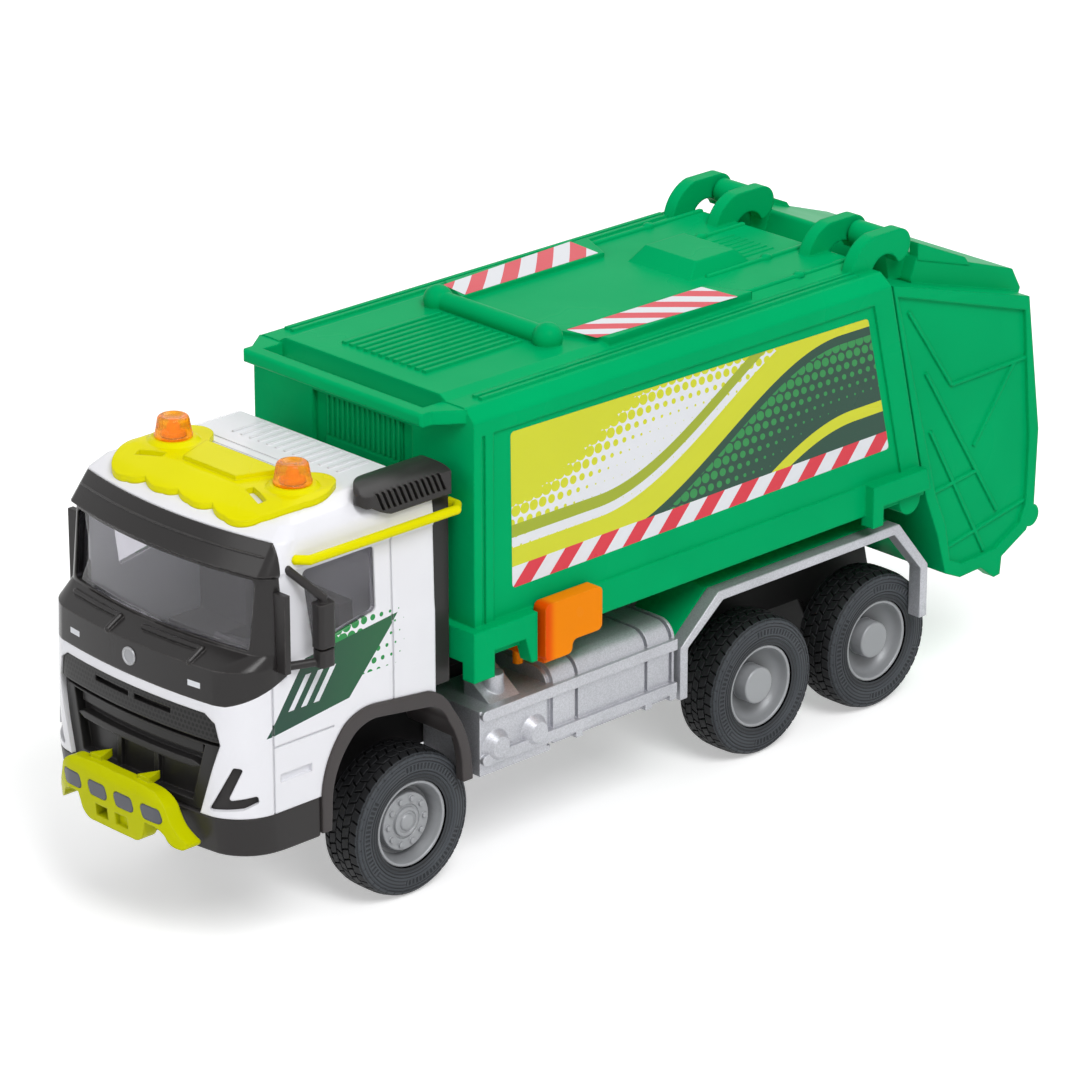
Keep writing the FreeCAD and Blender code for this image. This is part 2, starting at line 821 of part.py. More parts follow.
def chassis_frame():
    """One beam under cab and container, with the saddle the container lies on and the axle blocks."""
    front_x = cab_front_x - rail_front_setback
    rear_x = rear_axle_2_x - rail_rear_overhang
    outline = [
        (front_x, rail_low_z),
        (front_x, rail_top_z),
        (rear_x, rail_top_z),
        (rear_x - rail_rear_slant, rail_low_z),
    ]
    beam = prism_y(outline, -rail_half_width, rail_half_width)
    saddle = box(rear_x, container_front_x, -deck_half_width, deck_half_width, rail_top_z - deck_thickness,
                 container_low_z)
    frame = beam
    for behind_x, ahead_x in ((rear_axle_2_x, rear_axle_1_x), (rear_axle_1_x, front_axle_x)):
        frame = frame.cut(box(behind_x + axle_block_top_length / 2 + base_recess_rim,
                              ahead_x - axle_block_top_length / 2 - base_recess_rim, -base_recess_half_width,
                              base_recess_half_width, rail_low_z - cut_overrun, rail_low_z + base_recess_depth))
    blocks = [axle_block(axle_x) for axle_x in (front_axle_x, rear_axle_1_x, rear_axle_2_x)]
    frame = fuse_all([frame, saddle] + blocks).cut(rear_cutter(-chassis_tail_gap))
    bore = axle_pin_radius + axle_running_gap
    for axle_x in (front_axle_x, rear_axle_1_x, rear_axle_2_x):
        frame = frame.cut(cylinder_y(axle_x, tyre_radius, -deck_half_width, deck_half_width, bore))
    return frame


# Cab

def cab_x(share):
    return cab_rear_x + share * cab_length


def cab_z(share):
    return cab_low_z + share * cab_height


def cab_section(row, inset, z):
    """One plan section of the cab, drawn in by an inset."""
    front_x = cab_x(row[1]) - inset
    corner_x = cab_x(row[2]) - inset
    side_x = cab_x(row[3]) - inset
    corner_y = row[4] * cab_half_width - inset
    side_y = row[5] * cab_half_width - inset
    rear_x = cab_x(row[6]) + inset
    chord_x = side_x - corner_x
    chord_y = side_y - corner_y
    bulge_x = (side_x + corner_x) / 2 + chord_y * cab_corner_bulge_share
    bulge_y = (side_y + corner_y) / 2 - chord_x * cab_corner_bulge_share
    front = Part.Arc(vec(corner_x, -corner_y, z), vec(front_x, 0, z), vec(corner_x, corner_y, z))
    left = Part.Arc(vec(corner_x, corner_y, z), vec(bulge_x, bulge_y, z), vec(side_x, side_y, z))
    right = Part.Arc(vec(side_x, -side_y, z), vec(bulge_x, -bulge_y, z), vec(corner_x, -corner_y, z))
    edges = [
        front.toShape(),
        left.toShape(),
        Part.makeLine(vec(side_x, side_y, z), vec(rear_x, side_y, z)),
        Part.makeLine(vec(rear_x, side_y, z), vec(rear_x, -side_y, z)),
        Part.makeLine(vec(rear_x, -side_y, z), vec(side_x, -side_y, z)),
        right.toShape(),
    ]
    return Part.Wire(edges)


def cab_form(inset, low_drop):
    """The cab's outer form drawn in by an inset, its foot lowered by low_drop."""
    wires = []
    last = len(cab_section_shares) - 1
    for index, row in enumerate(cab_section_shares):
        z = cab_z(row[0])
        if index == 0:
            z -= low_drop
        if index == last:
            z -= inset
        wires.append(cab_section(row, inset, z))
    return Part.makeLoft(wires, True, True)


def cab_layer(near, far, zone):
    """What lies in a zone between two depths below the cab's outer form."""
    return cab_form(near, cut_overrun).cut(cab_form(far, cut_overrun)).common(zone)


def cab_outline_xz(shares):
    return share_outline(shares, cab_rear_x, cab_low_z, cab_length, cab_height)


def cab_outline_yz(shares):
    return share_outline(shares, 0, cab_low_z, cab_half_width, cab_height)


def across_front(z0, z1, half_width):
    """A zone over the front of the cab between two heights."""
    return box(cab_x(front_zone_share), cab_front_x + cut_overrun, -half_width, half_width, z0, z1)


def windscreen_tool(inset):
    outline = cab_outline_yz(windscreen_outline_shares)
    shrunk = []
    for y, z in outline:
        sign_y = 1 if y > 0 else -1
        sign_z = 1 if z > cab_z(windscreen_middle_share) else -1
        shrunk.append((y - sign_y * inset, z - sign_z * inset))
    solid = prism_x(shrunk, cab_x(front_zone_share), cab_front_x + cut_overrun)
    return round_edges(solid, window_corner_radius, lambda edge: runs_along(edge, 0))


def side_window_tool(side):
    y_far = side * (cab_half_width + cut_overrun)
    y_near = side * (cab_half_width - window_tool_depth)
    solid = prism_y(cab_outline_xz(side_window_outline_shares), y_near, y_far)
    return round_edges(solid, window_corner_radius, lambda edge: runs_along(edge, 1))


def flare_outline(shares):
    return bent_outline(shares, front_axle_x, 0, tyre_radius, tyre_radius)


def arch_tool():
    """The wheel arch's space through the cab's flank, from beside the chassis outwards."""
    return bent_prism_y(flare_outline(flare_outer_shares), liner_inner_y, cab_half_width + cut_overrun)


def headlamp_tool():
    """The bent slot of the left front corner, carried along the corner's own direction."""
    turn = math.radians(headlamp_turn)
    out = vec(math.cos(turn), math.sin(turn), 0)
    along = vec(-math.sin(turn), math.cos(turn), 0)
    centre = vec(cab_x(headlamp_centre_x_share), cab_half_width * headlamp_centre_y_share, 0)
    base = centre - out * headlamp_tool_in
    points = []
    for share, rise in headlamp_outline_shares:
        place = base + along * (headlamp_start + share * headlamp_width)
        points.append(vec(place.x, place.y, cab_low_z + headlamp_rise + rise * headlamp_height))
    reach = headlamp_tool_in + headlamp_tool_out
    solid = polygon_face(points).extrude(out * reach)
    return round_edges(solid, headlamp_round, lambda edge: edge.Length > reach * along_axis_share)


def seam_cutters():
    """Slabs that mark the shallow seams of doors, corners and roof."""
    half = seam_width / 2
    wide = cab_half_width + cut_overrun
    slabs = []
    for share, top_share in ((door_rear_seam_share, door_rear_seam_top_share),
                             (door_front_seam_share, door_front_seam_top_share)):
        x = cab_x(share)
        slabs.append(box(x - half, x + half, -wide, wide, cab_low_z - cut_overrun, cab_z(top_share)))
    z = cab_z(corner_seam_z_share)
    slabs.append(box(cab_x(corner_seam_rear_share), cab_x(door_front_seam_share), -wide, wide, z - half, z + half))
    for share in cab_roof_groove_x_shares:
        x = cab_x(share)
        slabs.append(box(x - half, x + half, -cab_roof_groove_half_length, cab_roof_groove_half_length,
                         cab_top_z - cut_overrun, cab_top_z + cut_overrun))
    return slabs


def cab_roof_ribs():
    ribs = []
    x0 = cab_rear_x + cab_roof_rib_setback
    start = -cab_roof_rib_pitch * (cab_roof_rib_count - 1) / 2
    for index in range(cab_roof_rib_count):
        y = start + cab_roof_rib_pitch * index
        ribs.append(box(x0, x0 + cab_roof_rib_length, y - cab_roof_rib_width / 2, y + cab_roof_rib_width / 2,
                        cab_top_z - seat_gap, cab_top_z + cab_roof_rib_height))
    return ribs


def cab_shell_and_surround():
    outer = cab_form(0, 0)
    inner = cab_form(metal_wall, cut_overrun)
    shell = outer.cut(inner)
    wide = cab_half_width + cut_overrun
    zone = prism_y(cab_outline_xz(surround_outline_shares), -wide, wide)
    surround = shell.common(zone).cut(windscreen_tool(0))
    body = shell.cut(zone)
    skin = outer.cut(cab_form(seam_depth, cut_overrun))
    arch = arch_tool()
    lamp_slot = headlamp_tool()
    marker_x = cab_x(marker_rear_share)
    marker_z = cab_z(marker_z_share)
    marker = box(marker_x, marker_x + marker_length, -wide, wide, marker_z, marker_z + marker_height)
    cutters = [side_window_tool(1), side_window_tool(-1), arch, mirrored(arch), grille_tool(0), lamp_slot,
               mirrored(lamp_slot)]
    cutters += [skin.common(slab) for slab in seam_cutters()]
    cutters.append(outer.cut(cab_form(headlamp_recess, cut_overrun)).common(marker))
    cutters.append(box(cab_rear_x - cut_overrun, cab_rear_x + metal_wall * 2, -liner_inner_y, liner_inner_y,
                       cab_low_z - cut_overrun, rail_top_z + seat_gap))
    for cutter in cutters:
        body = body.cut(cutter)
    return fuse_all([body] + cab_roof_ribs()), surround


def wipers():
    """Two wipers that lie on the shelf, each with its arm bent down at its outer end."""
    z = cab_z(wiper_z_share)
    parts = []
    for inner_share, outer_share in wiper_y_shares:
        points = []
        for share in (inner_share, (inner_share + outer_share) / 2, outer_share):
            points.append(vec(cab_x(wiper_x_share) - wiper_sweep * share * share, share * cab_half_width, z))
        tip = vec(points[2].x + wiper_arm_reach, points[2].y, z - wiper_arm_drop)
        parts.append(rod_through(points + [tip], wiper_radius))
    return parts


def headlamp_slots():
    left = cab_layer(headlamp_recess, metal_wall, headlamp_tool())
    return Part.makeCompound([left, mirrored(left)])


def grille_tool(inset):
    outline = []
    for y, z in cab_outline_yz(grille_outline_shares):
        outline.append((y - math.copysign(inset, y), z))
    return prism_x(outline, cab_x(front_zone_share), cab_front_x + cut_overrun)


def grille():
    """Recessed dark panel in the front opening, with its top strip, side wings, shelf, bar and posts."""
    tool = grille_tool(seat_gap)
    wide = cab_half_width + cut_overrun
    back = grille_recess + grille_thickness
    top_z = cab_z(grille_outline_shares[0][1])
    gap_z = cab_z(grille_gap_low_share)
    bar_z = cab_z(grille_bar_z_share)
    bar_outline = [
        (-grille_bar_half_width - grille_bar_tip, bar_z),
        (-grille_bar_half_width, bar_z + grille_bar_half_height),
        (grille_bar_half_width, bar_z + grille_bar_half_height),
        (grille_bar_half_width + grille_bar_tip, bar_z),
        (grille_bar_half_width, bar_z - grille_bar_half_height),
        (-grille_bar_half_width, bar_z - grille_bar_half_height),
    ]
    shelf_z = [cab_z(share) for share in grille_shelf_z_shares]
    hollow = prism_x(cab_outline_yz(grille_wing_inner_shares), cab_x(front_zone_share), cab_front_x + cut_overrun)
    zones = [
        (grille_recess, tool),
        (grille_strip_recess, across_front(cab_z(grille_strip_low_share), top_z + cut_overrun, wide)),
        (grille_wing_recess, across_front(cab_low_z - cut_overrun, gap_z, wide).cut(hollow)),
        (grille_shelf_recess, across_front(shelf_z[0], shelf_z[1], grille_shelf_half_width)),
        (grille_bar_recess, prism_x(bar_outline, cab_x(front_zone_share), cab_front_x)),
    ]
    for side in (1, -1):
        y = side * grille_post_y
        zones.append((grille_post_recess, box(cab_x(front_zone_share), cab_front_x, y - grille_post_width / 2,
                                              y + grille_post_width / 2, cab_z(grille_post_low_share), bar_z)))
    far = cab_form(back, cut_overrun)
    layers = []
    for depth, zone in zones:
        layers.append(cab_form(depth, cut_overrun).cut(far).common(zone).common(tool))
    panel = fuse_all(layers)
    slot_z = cab_z(grille_slot_z_share)
    floor_form = cab_form(grille_shelf_recess, cut_overrun)
    for side in (1, -1):
        slot = box(cab_x(front_zone_share), cab_front_x, side * grille_slot_inner_y, side * grille_slot_outer_y,
                   slot_z - grille_slot_height / 2, slot_z + grille_slot_height / 2)
        panel = panel.cut(slot.cut(floor_form))
    return panel


def windscreen_glass():
    return cab_layer(glass_inset, glass_inset + glass_thickness, windscreen_tool(seat_gap))


def side_glass():
    left = cab_layer(glass_inset, glass_inset + glass_thickness, side_window_tool(1))
    return Part.makeCompound([left, mirrored(left)])


def wheel_arch(side):
    """The dark flare round the front wheel with the liner that runs in over the tyre."""
    outer = bent_prism_y(flare_outline(flare_outer_shares), liner_inner_y, flare_outer_y)
    inner = bent_prism_y(flare_outline(flare_inner_shares), liner_inner_y - cut_overrun,
                         flare_outer_y + cut_overrun)
    leg_zone = box(front_axle_x - tyre_radius * 2, front_axle_x, liner_inner_y - cut_overrun, flare_inner_y,
                   0, tyre_radius * 2 + liner_thickness)
    ring = outer.cut(inner).cut(leg_zone)
    return ring if side > 0 else mirrored(ring)


def bumper_form(inset):
    row = cab_section_shares[0]
    top = cab_section(row, inset, cab_low_z - seat_gap + inset)
    low_row = tuple(share * (bumper_foot_share if place in (1, 2, 3) else 1) for place, share in enumerate(row))
    low = cab_section(low_row, inset, bumper_low_z - inset)
    return Part.makeLoft([low, top], True, True)


def bumper():
    """Dark lower bumper: a curved beam that runs back along both sides to the wheel arches."""
    wide = cab_half_width + cut_overrun
    rear_x = front_axle_x + flare_front_share * tyre_radius + bumper_arch_gap
    keep = box(rear_x, cab_front_x + cut_overrun, -wide, wide, bumper_low_z - cut_overrun, cab_low_z)
    return bumper_form(0).cut(bumper_form(plastic_wall)).common(keep)


def cab_interior():
    """Floor, dash, two seats and the steering wheel, as one moulding."""
    floor_low = rail_top_z + seat_gap
    floor_top = floor_low + cab_floor_thickness
    inner = cab_half_width - metal_wall * 2 - seat_gap
    dash_x = cab_x(dash_rear_share)
    seat_x = cab_x(seat_front_share)
    seat_z = flare_top_share * tyre_radius + seat_gap * 2
    floor_half = liner_inner_y - seat_gap
    floor = box(cab_rear_x + metal_wall + seat_gap, dash_x + dash_depth / 2, -floor_half, floor_half, floor_low,
                floor_top)
    dash = box(dash_x, dash_x + dash_depth, -inner, inner, floor_low, floor_top + dash_height)
    parts = [floor, dash]
    for side in (1, -1):
        y0 = side * seat_centre_y - seat_width / 2
        y1 = side * seat_centre_y + seat_width / 2
        parts.append(box(seat_x - seat_depth, seat_x, y0, y1, seat_z, seat_z + seat_cushion_height))
        parts.append(box(seat_x - seat_depth, seat_x - seat_depth + seat_back_thickness, y0, y1, seat_z,
                         seat_z + seat_back_height))
        parts.append(box(seat_x - seat_depth, seat_x, 0, side * floor_half, floor_low,
                         seat_z + seat_cushion_height / 2))
    parts.append(steering_wheel())
    room = cab_form(grille_recess + grille_thickness + seat_gap, cut_overrun)
    return fuse_all(parts).common(room)


def steering_wheel():
    centre = vec(cab_x(dash_rear_share) - steering_wheel_radius * steering_wheel_set_share, seat_centre_y,
                 rail_top_z + dash_height + steering_wheel_radius)
    ring = Part.makeTorus(steering_wheel_radius, steering_wheel_tube)
    column = Part.makeCylinder(steering_wheel_tube, steering_wheel_radius * 2,
                               vec(0, 0, -steering_wheel_radius * 2))
    spoke = box(-steering_wheel_radius, steering_wheel_radius, -steering_wheel_tube, steering_wheel_tube,
                -steering_wheel_tube, 0)
    wheel_solid = fuse_all([ring, column, spoke])
    wheel_solid.rotate(vec(0, 0, 0), vec(0, 1, 0), -steering_wheel_tilt)
    wheel_solid.translate(centre)
    return wheel_solid


def handrail(side, cab_outer):
    """Rail along the cab's flank; the left one ends in a hook behind the duct, the right one in the flank."""
    z = cab_z(handrail_z_share)
    front_x = cab_x(handrail_front_share)
    outer_y = cab_half_width + handrail_stand_off - handrail_radius
    root_y = cab_half_width - handrail_stand_off
    if side > 0:
        rear_x = cab_rear_x - duct_gap - duct_length - handrail_radius - seat_gap
    else:
        rear_x = cab_rear_x + handrail_right_end_inset
    points = [
        vec(front_x, side * root_y, z),
        vec(front_x, side * (outer_y - handrail_bend), z),
        vec(front_x - handrail_bend, side * outer_y, z),
        vec(rear_x + handrail_bend, side * outer_y, z),
        vec(rear_x, side * (outer_y - handrail_bend), z),
        vec(rear_x, side * root_y, z),
    ]
    return rod_through(points, handrail_radius).cut(cab_outer)


def duct_outer_y():
    return cab_half_width - duct_inset


def air_intake(cab_outer):
    """Hooded intake on the left rear roof corner, with its duct down the cab's back."""
    rear_x = cab_rear_x - intake_rear_setback
    low_z = cab_z(intake_low_z_share)
    outer_y = cab_half_width + intake_outer_proud
    inner_y = outer_y - intake_depth
    side_form = bent_prism_y(bent_outline(intake_side_shares, rear_x, low_z, intake_length, intake_height),
                             inner_y - cut_overrun, outer_y + cut_overrun)
    plan_form = bent_prism_z(bent_outline(intake_plan_shares, rear_x, inner_y, intake_length, intake_depth),
                             low_z - cut_overrun, low_z + intake_height * 2)
    crown = cylinder_x(rear_x, rear_x + intake_length, (inner_y + outer_y) / 2,
                       low_z + intake_height - intake_crown_radius, intake_crown_radius)
    hood = side_form.common(plan_form).common(crown)
    grooves = []
    for index in range(intake_louvre_count):
        x = rear_x + intake_length * intake_louvre_front_share - intake_louvre_pitch * index
        z0 = low_z + intake_height * intake_louvre_z_shares[0]
        z1 = low_z + intake_height * intake_louvre_z_shares[1]
        outline = [
            (x - intake_louvre_lean, z0),
            (x - intake_louvre_lean - intake_louvre_width, z0),
            (x - intake_louvre_width, z1),
            (x, z1),
        ]
        grooves.append(prism_y(outline, outer_y - intake_louvre_depth, outer_y + cut_overrun))
    hood = hood.cut(cab_outer)
    for groove in grooves:
        hood = hood.cut(groove)
    front_x = cab_rear_x - duct_gap
    low_duct_z = flare_top_share * tyre_radius - deck_thickness
    duct = box(front_x - duct_length, front_x, duct_outer_y() - duct_width, duct_outer_y(), low_duct_z,
               low_z + intake_height * intake_louvre_z_shares[0])
    return fuse_all([hood, duct])


def mirror(side, cab_outer):
    """Upright plate at the corner and two housings on an arm that bends out from the pillar."""
    head_x = cab_x(mirror_x_share)
    head_y = cab_half_width + mirror_outset
    low_z = cab_z(mirror_low_share)
    small_top_z = low_z + mirror_small_height
    tall_low_z = small_top_z + mirror_between_gap
    parts = []
    for length, z0, height in ((mirror_small_length, low_z, mirror_small_height),
                               (mirror_head_length, tall_low_z, mirror_head_height)):
        head = box(head_x - length / 2, head_x + length / 2, head_y - mirror_head_thickness / 2,
                   head_y + mirror_head_thickness / 2, z0, z0 + height)
        parts.append(round_edges(head, mirror_round, lambda edge: runs_along(edge, 2)))
    parts.append(cylinder_z(head_x, head_y, low_z, tall_low_z + mirror_head_height, mirror_arm_radius))
    mount_y = cab_half_width * mirror_mount_y_share
    top_z = tall_low_z + mirror_head_height - mirror_arm_radius
    parts.append(rod_through([
        vec(cab_x(mirror_mount_x_share), mount_y, cab_z(mirror_mount_top_share)),
        vec(head_x, head_y, top_z + mirror_arm_radius * 2),
        vec(head_x, head_y, top_z),
    ], mirror_arm_radius))
    blade_x = cab_x(mirror_blade_x_share)
    blade_z = [cab_z(share) for share in mirror_blade_z_shares]
    parts.append(rod_through([
        vec(blade_x, mount_y, cab_z(mirror_mount_low_share)),
        vec(head_x, head_y, low_z + mirror_arm_radius),
    ], mirror_arm_radius))
    parts.append(box(blade_x - mirror_blade_thickness / 2, blade_x + mirror_blade_thickness / 2,
                     mount_y - mirror_blade_reach, cab_half_width + mirror_blade_reach, blade_z[0], blade_z[1]))
    solid = fuse_all(parts)
    return solid.cut(cab_outer) if side > 0 else mirrored(solid).cut(cab_outer)


def light_bar(cab_outer):
    """Lobed roof bar laid on the roof's form, with two cone seats for the beacons and a crest between them."""
    rear_x = cab_x(light_bar_rear_share)
    half = bent_outline(light_bar_plan_shares, rear_x, 0, light_bar_length, light_bar_half_width)
    low_z = cab_z(light_bar_low_share)
    high_z = cab_top_z + beacon_plinth_height * 2 + light_bar_thickness
    raised = cab_outer.copy()
    raised.translate(vec(0, 0, light_bar_thickness))
    slab = bent_prism_z(both_halves(half, 1), low_z, high_z).common(raised)
    crest_outline = [(rear_x + share * light_bar_length, half_width)
                     for share, half_width in zip(crest_x_shares, crest_half_widths)]
    crest_outline += [(x, -y) for x, y in reversed(crest_outline)]
    raised.translate(vec(0, 0, crest_height))
    parts = [slab, prism_z(crest_outline, low_z, high_z).common(raised)]
    seat_z = cab_top_z + light_bar_sink
    for side in (1, -1):
        parts.append(Part.makeCone(beacon_plinth_foot_radius, beacon_plinth_radius,
                                   light_bar_thickness + beacon_plinth_height - light_bar_sink,
                                   vec(beacon_x(), side * beacon_centre_y, seat_z)))
    bar = fuse_all(parts).cut(cab_outer)
    for side in (1, -1):
        slot = box(-light_slot_length / 2, light_slot_length / 2, -light_slot_width / 2, light_slot_width / 2,
                   low_z, high_z)
        slot.rotate(vec(0, 0, 0), vec(0, 0, 1), side * light_slot_turn)
        slot.translate(vec(rear_x + light_slot_x_share * light_bar_length,
                           side * (light_bar_half_width - light_slot_inset), 0))
        bar = bar.cut(slot)
    return bar


def beacon_x():
    return cab_x(beacon_x_share)


def beacon(side):
    base_z = cab_top_z + light_bar_thickness + beacon_plinth_height + seat_gap
    cup = Part.makeCone(beacon_base_radius, beacon_top_radius, beacon_height,
                        vec(beacon_x(), side * beacon_centre_y, base_z))
    return round_edges(cup, beacon_round, lambda edge: edge.BoundBox.ZMin > base_z + beacon_height / 2)


# Bull bar

def bull_bar_plan(shift, depth):
    """Outline of the band that the bar fills seen from above: flat in the middle, swept back at both ends."""
    front_x = cab_front_x + bull_bar_reach - shift
    half = []
    for setback_share, side_share, bends in bull_bar_plan_shares:
        half.append((front_x - setback_share * bull_bar_sweep, side_share * bull_bar_half_width, bends))
    front = [(x, -y, bends) for x, y, bends in reversed(half) if y > 0] + half
    return front + [(x - depth, y, bends) for x, y, bends in reversed(front)]


def bull_bar_band(shift, depth, z0, z1):
    return bent_prism_z(bull_bar_plan(shift, depth), z0, z1)


def bull_bar_crowned_band():
    """The band with its face drawn back below the lamps and rounded off above them."""
    wires = []
    for height_share, setback_share, depth_share in bull_bar_level_shares:
        plan = bull_bar_plan(setback_share * bull_bar_depth, depth_share * bull_bar_depth)
        z = bull_bar_beam_low_z + height_share * bull_bar_beam_height
        wires.append(bent_face(plan, lambda x, y: vec(x, y, z)).OuterWire)
    return Part.makeLoft(wires, True, True)


def bull_bar():
    outline = bent_outline(bull_bar_outline_shares, 0, bull_bar_beam_low_z, bull_bar_half_width,
                           bull_bar_beam_height)
    front_x = cab_front_x + bull_bar_reach
    back_x = front_x - bull_bar_foot_reach
    low_z = bull_bar_beam_low_z - bull_bar_beam_height
    high_z = bull_bar_beam_low_z + bull_bar_beam_height * 2
    bar = bent_prism_x(both_halves(outline, 0), back_x, front_x + cut_overrun).common(bull_bar_crowned_band())
    seat = bull_bar_band(lamp_seat, bull_bar_depth, low_z, high_z)
    for y in lamp_places():
        bar = bar.cut(lamp_prism(y, seat_gap).cut(seat))
    floor_band = bull_bar_band(bull_bar_recess_depth, bull_bar_depth, low_z, high_z)
    hole_low = bull_bar_beam_low_z - bull_bar_hole_drop
    for side in (1, -1):
        window = box(back_x, front_x + cut_overrun, side * bull_bar_hole_y - bull_bar_hole_width / 2,
                     side * bull_bar_hole_y + bull_bar_hole_width / 2, hole_low, hole_low + bull_bar_hole_height)
        bar = bar.cut(window if side < 0 else window.cut(floor_band))
    top_z = bull_bar_beam_low_z + bull_bar_fin_top_share * bull_bar_beam_height
    root_x = front_x - bull_bar_fin_root_share * bull_bar_depth
    fins = []
    for side in (1, -1):
        y = side * bull_bar_fin_y
        fins.append(prism_z([(root_x, y - bull_bar_fin_half_width), (cab_front_x - bull_bar_fin_setback, y),
                             (root_x, y + bull_bar_fin_half_width)], top_z - bull_bar_fin_height, top_z))
    return fuse_all([bar] + fins).cut(bumper_form(0))


def lamp_places():
    start = -lamp_pitch * (lamp_count - 1) / 2
    return [start + lamp_pitch * index for index in range(lamp_count)]


def lamp_prism(y, grow):
    """A slanted, rounded block through the bar, where one lamp sits."""
    z = bull_bar_beam_low_z + lamp_rise
    half_width = lamp_half_width + grow
    half_height = lamp_half_height + grow
    outline = [
        (y - half_width - lamp_lean, z + half_height),
        (y + half_width - lamp_lean, z + half_height),
        (y + half_width + lamp_lean, z - half_height),
        (y - half_width + lamp_lean, z - half_height),
    ]
    front_x = cab_front_x + bull_bar_reach
    block = prism_x(outline, front_x - bull_bar_foot_reach, front_x + cut_overrun)
    return round_edges(block, lamp_round, lambda edge: runs_along(edge, 0))


def bull_bar_lamps():
    band = bull_bar_band(0, lamp_seat, bull_bar_beam_low_z, bull_bar_beam_low_z + bull_bar_beam_height)
    return Part.makeCompound([lamp_prism(y, 0).common(band) for y in lamp_places()])


# Side tank

def tank_section(inset):
    """Section of the tank across y and up z, drawn in by an inset; its outer shoulder is an arc."""
    outer_y = tank_outer_y - inset
    top_z = tank_box_top_z + tank_crest_height - inset
    turn_z = tank_box_top_z - inset
    bend = tank_shoulder * tank_bend_share
    return [
        (tank_inner_y, tank_low_z, False),
        (outer_y, tank_low_z, False),
        (outer_y, turn_z, False),
        (outer_y - bend, top_z - bend, True),
        (outer_y - tank_shoulder, top_z, False),
        (tank_inner_y, top_z, False),
    ]


def side_tank(side):
    """Box with a filler block ahead, tank with a rounded crest behind, two long rails outside."""
    length = tank_front_x - tank_rear_x
    split_x = tank_front_x - tank_box_length
    tank = bent_prism_x(tank_section(0), tank_rear_x, split_x)
    case = box(split_x, tank_front_x, tank_inner_y, tank_outer_y, tank_box_low_z, tank_box_top_z)
    parts = [tank, case]
    body = fuse_all(parts)
    inner = bent_prism_x(tank_section(tank_groove_depth), tank_rear_x - cut_overrun, tank_front_x)
    places = [(tank_front_x - share * length, tank_groove_width) for share in tank_groove_x_shares]
    places.append((split_x, tank_split_width))
    for x, width in places:
        groove = box(x - width / 2, x + width / 2, tank_inner_y, tank_outer_y + cut_overrun,
                     tank_low_z, tank_box_top_z + tank_crest_height + cut_overrun)
        body = body.cut(groove.cut(inner))
    rail_y = tank_outer_y + tank_rail_depth
    half = tank_rail_height / 2
    parts = [body]
    for low_z in (tank_top_rail_low_z, tank_mid_rail_low_z):
        parts.append(box(tank_rear_x, tank_front_x - half, tank_outer_y - tank_groove_depth, rail_y, low_z,
                         low_z + tank_rail_height))
        parts.append(cylinder_y(tank_front_x - half, low_z + half, tank_outer_y - tank_groove_depth, rail_y, half))
    for share in tank_groove_x_shares:
        x = tank_front_x - share * length
        parts.append(box(x - tank_foot_width / 2, x + tank_foot_width / 2, tank_outer_y - tank_groove_depth, rail_y,
                         tank_mid_rail_low_z - tank_foot_drop, tank_mid_rail_low_z + half))
    for share in tank_knob_x_shares:
        x = tank_front_x - share * length
        parts.append(Part.makeCone(tank_knob_radius, tank_knob_top_radius, tank_knob_height + tank_rail_depth,
                                   vec(x, tank_outer_y, tank_knob_z), vec(0, 1, 0)))
    filler_x = tank_front_x - filler_x_share * length
    parts.append(prism_x([
        (tank_outer_y - filler_inner_inset, tank_box_top_z),
        (tank_outer_y - filler_outer_inset, tank_box_top_z),
        (tank_outer_y - filler_inner_inset, tank_box_top_z + filler_height),
    ], filler_x - filler_length / 2, filler_x + filler_length / 2))
    parts.append(cylinder_z(filler_x, tank_outer_y - filler_cap_inset, tank_box_top_z,
                            tank_box_top_z + filler_cap_height, filler_cap_radius))
    solid = fuse_all(parts)
    return solid if side > 0 else mirrored(solid)


def lever():
    """Push lever: a rounded block with a longer leg at its front, on a stem from the tank's top."""
    front_x = front_bracket_rear_x - lever_bracket_gap
    low_z = container_low_z - lever_low_drop
    leg_x = front_x - lever_leg_length
    leg_z = low_z - lever_leg_drop
    outline = [
        (front_x, low_z + lever_height),
        (front_x - lever_length, low_z + lever_height),
        (front_x - lever_length, low_z),
        (leg_x, low_z),
        (leg_x, leg_z),
        (front_x, leg_z),
    ]
    outer_y = body_half_width + lever_proud
    block = prism_y(outline, body_half_width + seat_gap * 2, outer_y)
    block = round_edges(block, lever_round, lambda edge: runs_along(edge, 1))
    stem_x = leg_x + lever_leg_length / 2
    stem_y = (body_half_width + outer_y) / 2
    plate = box(leg_x, front_x - lever_round, tank_outer_y - lever_plate_inset, stem_y,
                leg_z - lever_stem_radius, leg_z + lever_round)
    post = cylinder_z(stem_x, tank_outer_y - lever_stem_inset, tank_box_top_z + tank_crest_height + seat_gap,
                      leg_z, lever_stem_radius)
    return fuse_all([block, plate, post])


# Rear fender and wheel housing

def fender_line(offset):
    """The bent strip's line, moved in towards the wheels by an offset."""
    length = fender_rear_x - fender_front_x
    height = fender_top_z - fender_leg_low_z
    points = []
    for index, (sx, sz) in enumerate(fender_outline_shares):
        x = fender_front_x + sx * length
        z = fender_leg_low_z + sz * height
        in_x = -1 if index < 3 else 1
        x += in_x * offset * fender_offset_shares[index][0]
        z -= offset * fender_offset_shares[index][1]
        points.append((x, z))
    return points


def bent_strip(thickness, y0, y1, last):
    outer = fender_line(0)[0:last]
    inner = fender_line(thickness)[0:last]
    return prism_y(outer + list(reversed(inner)), y0, y1)


def rear_fender(side):
    solid = bent_strip(fender_thickness, fender_inner_y, fender_outer_y, 6)
    return solid if side > 0 else mirrored(solid)


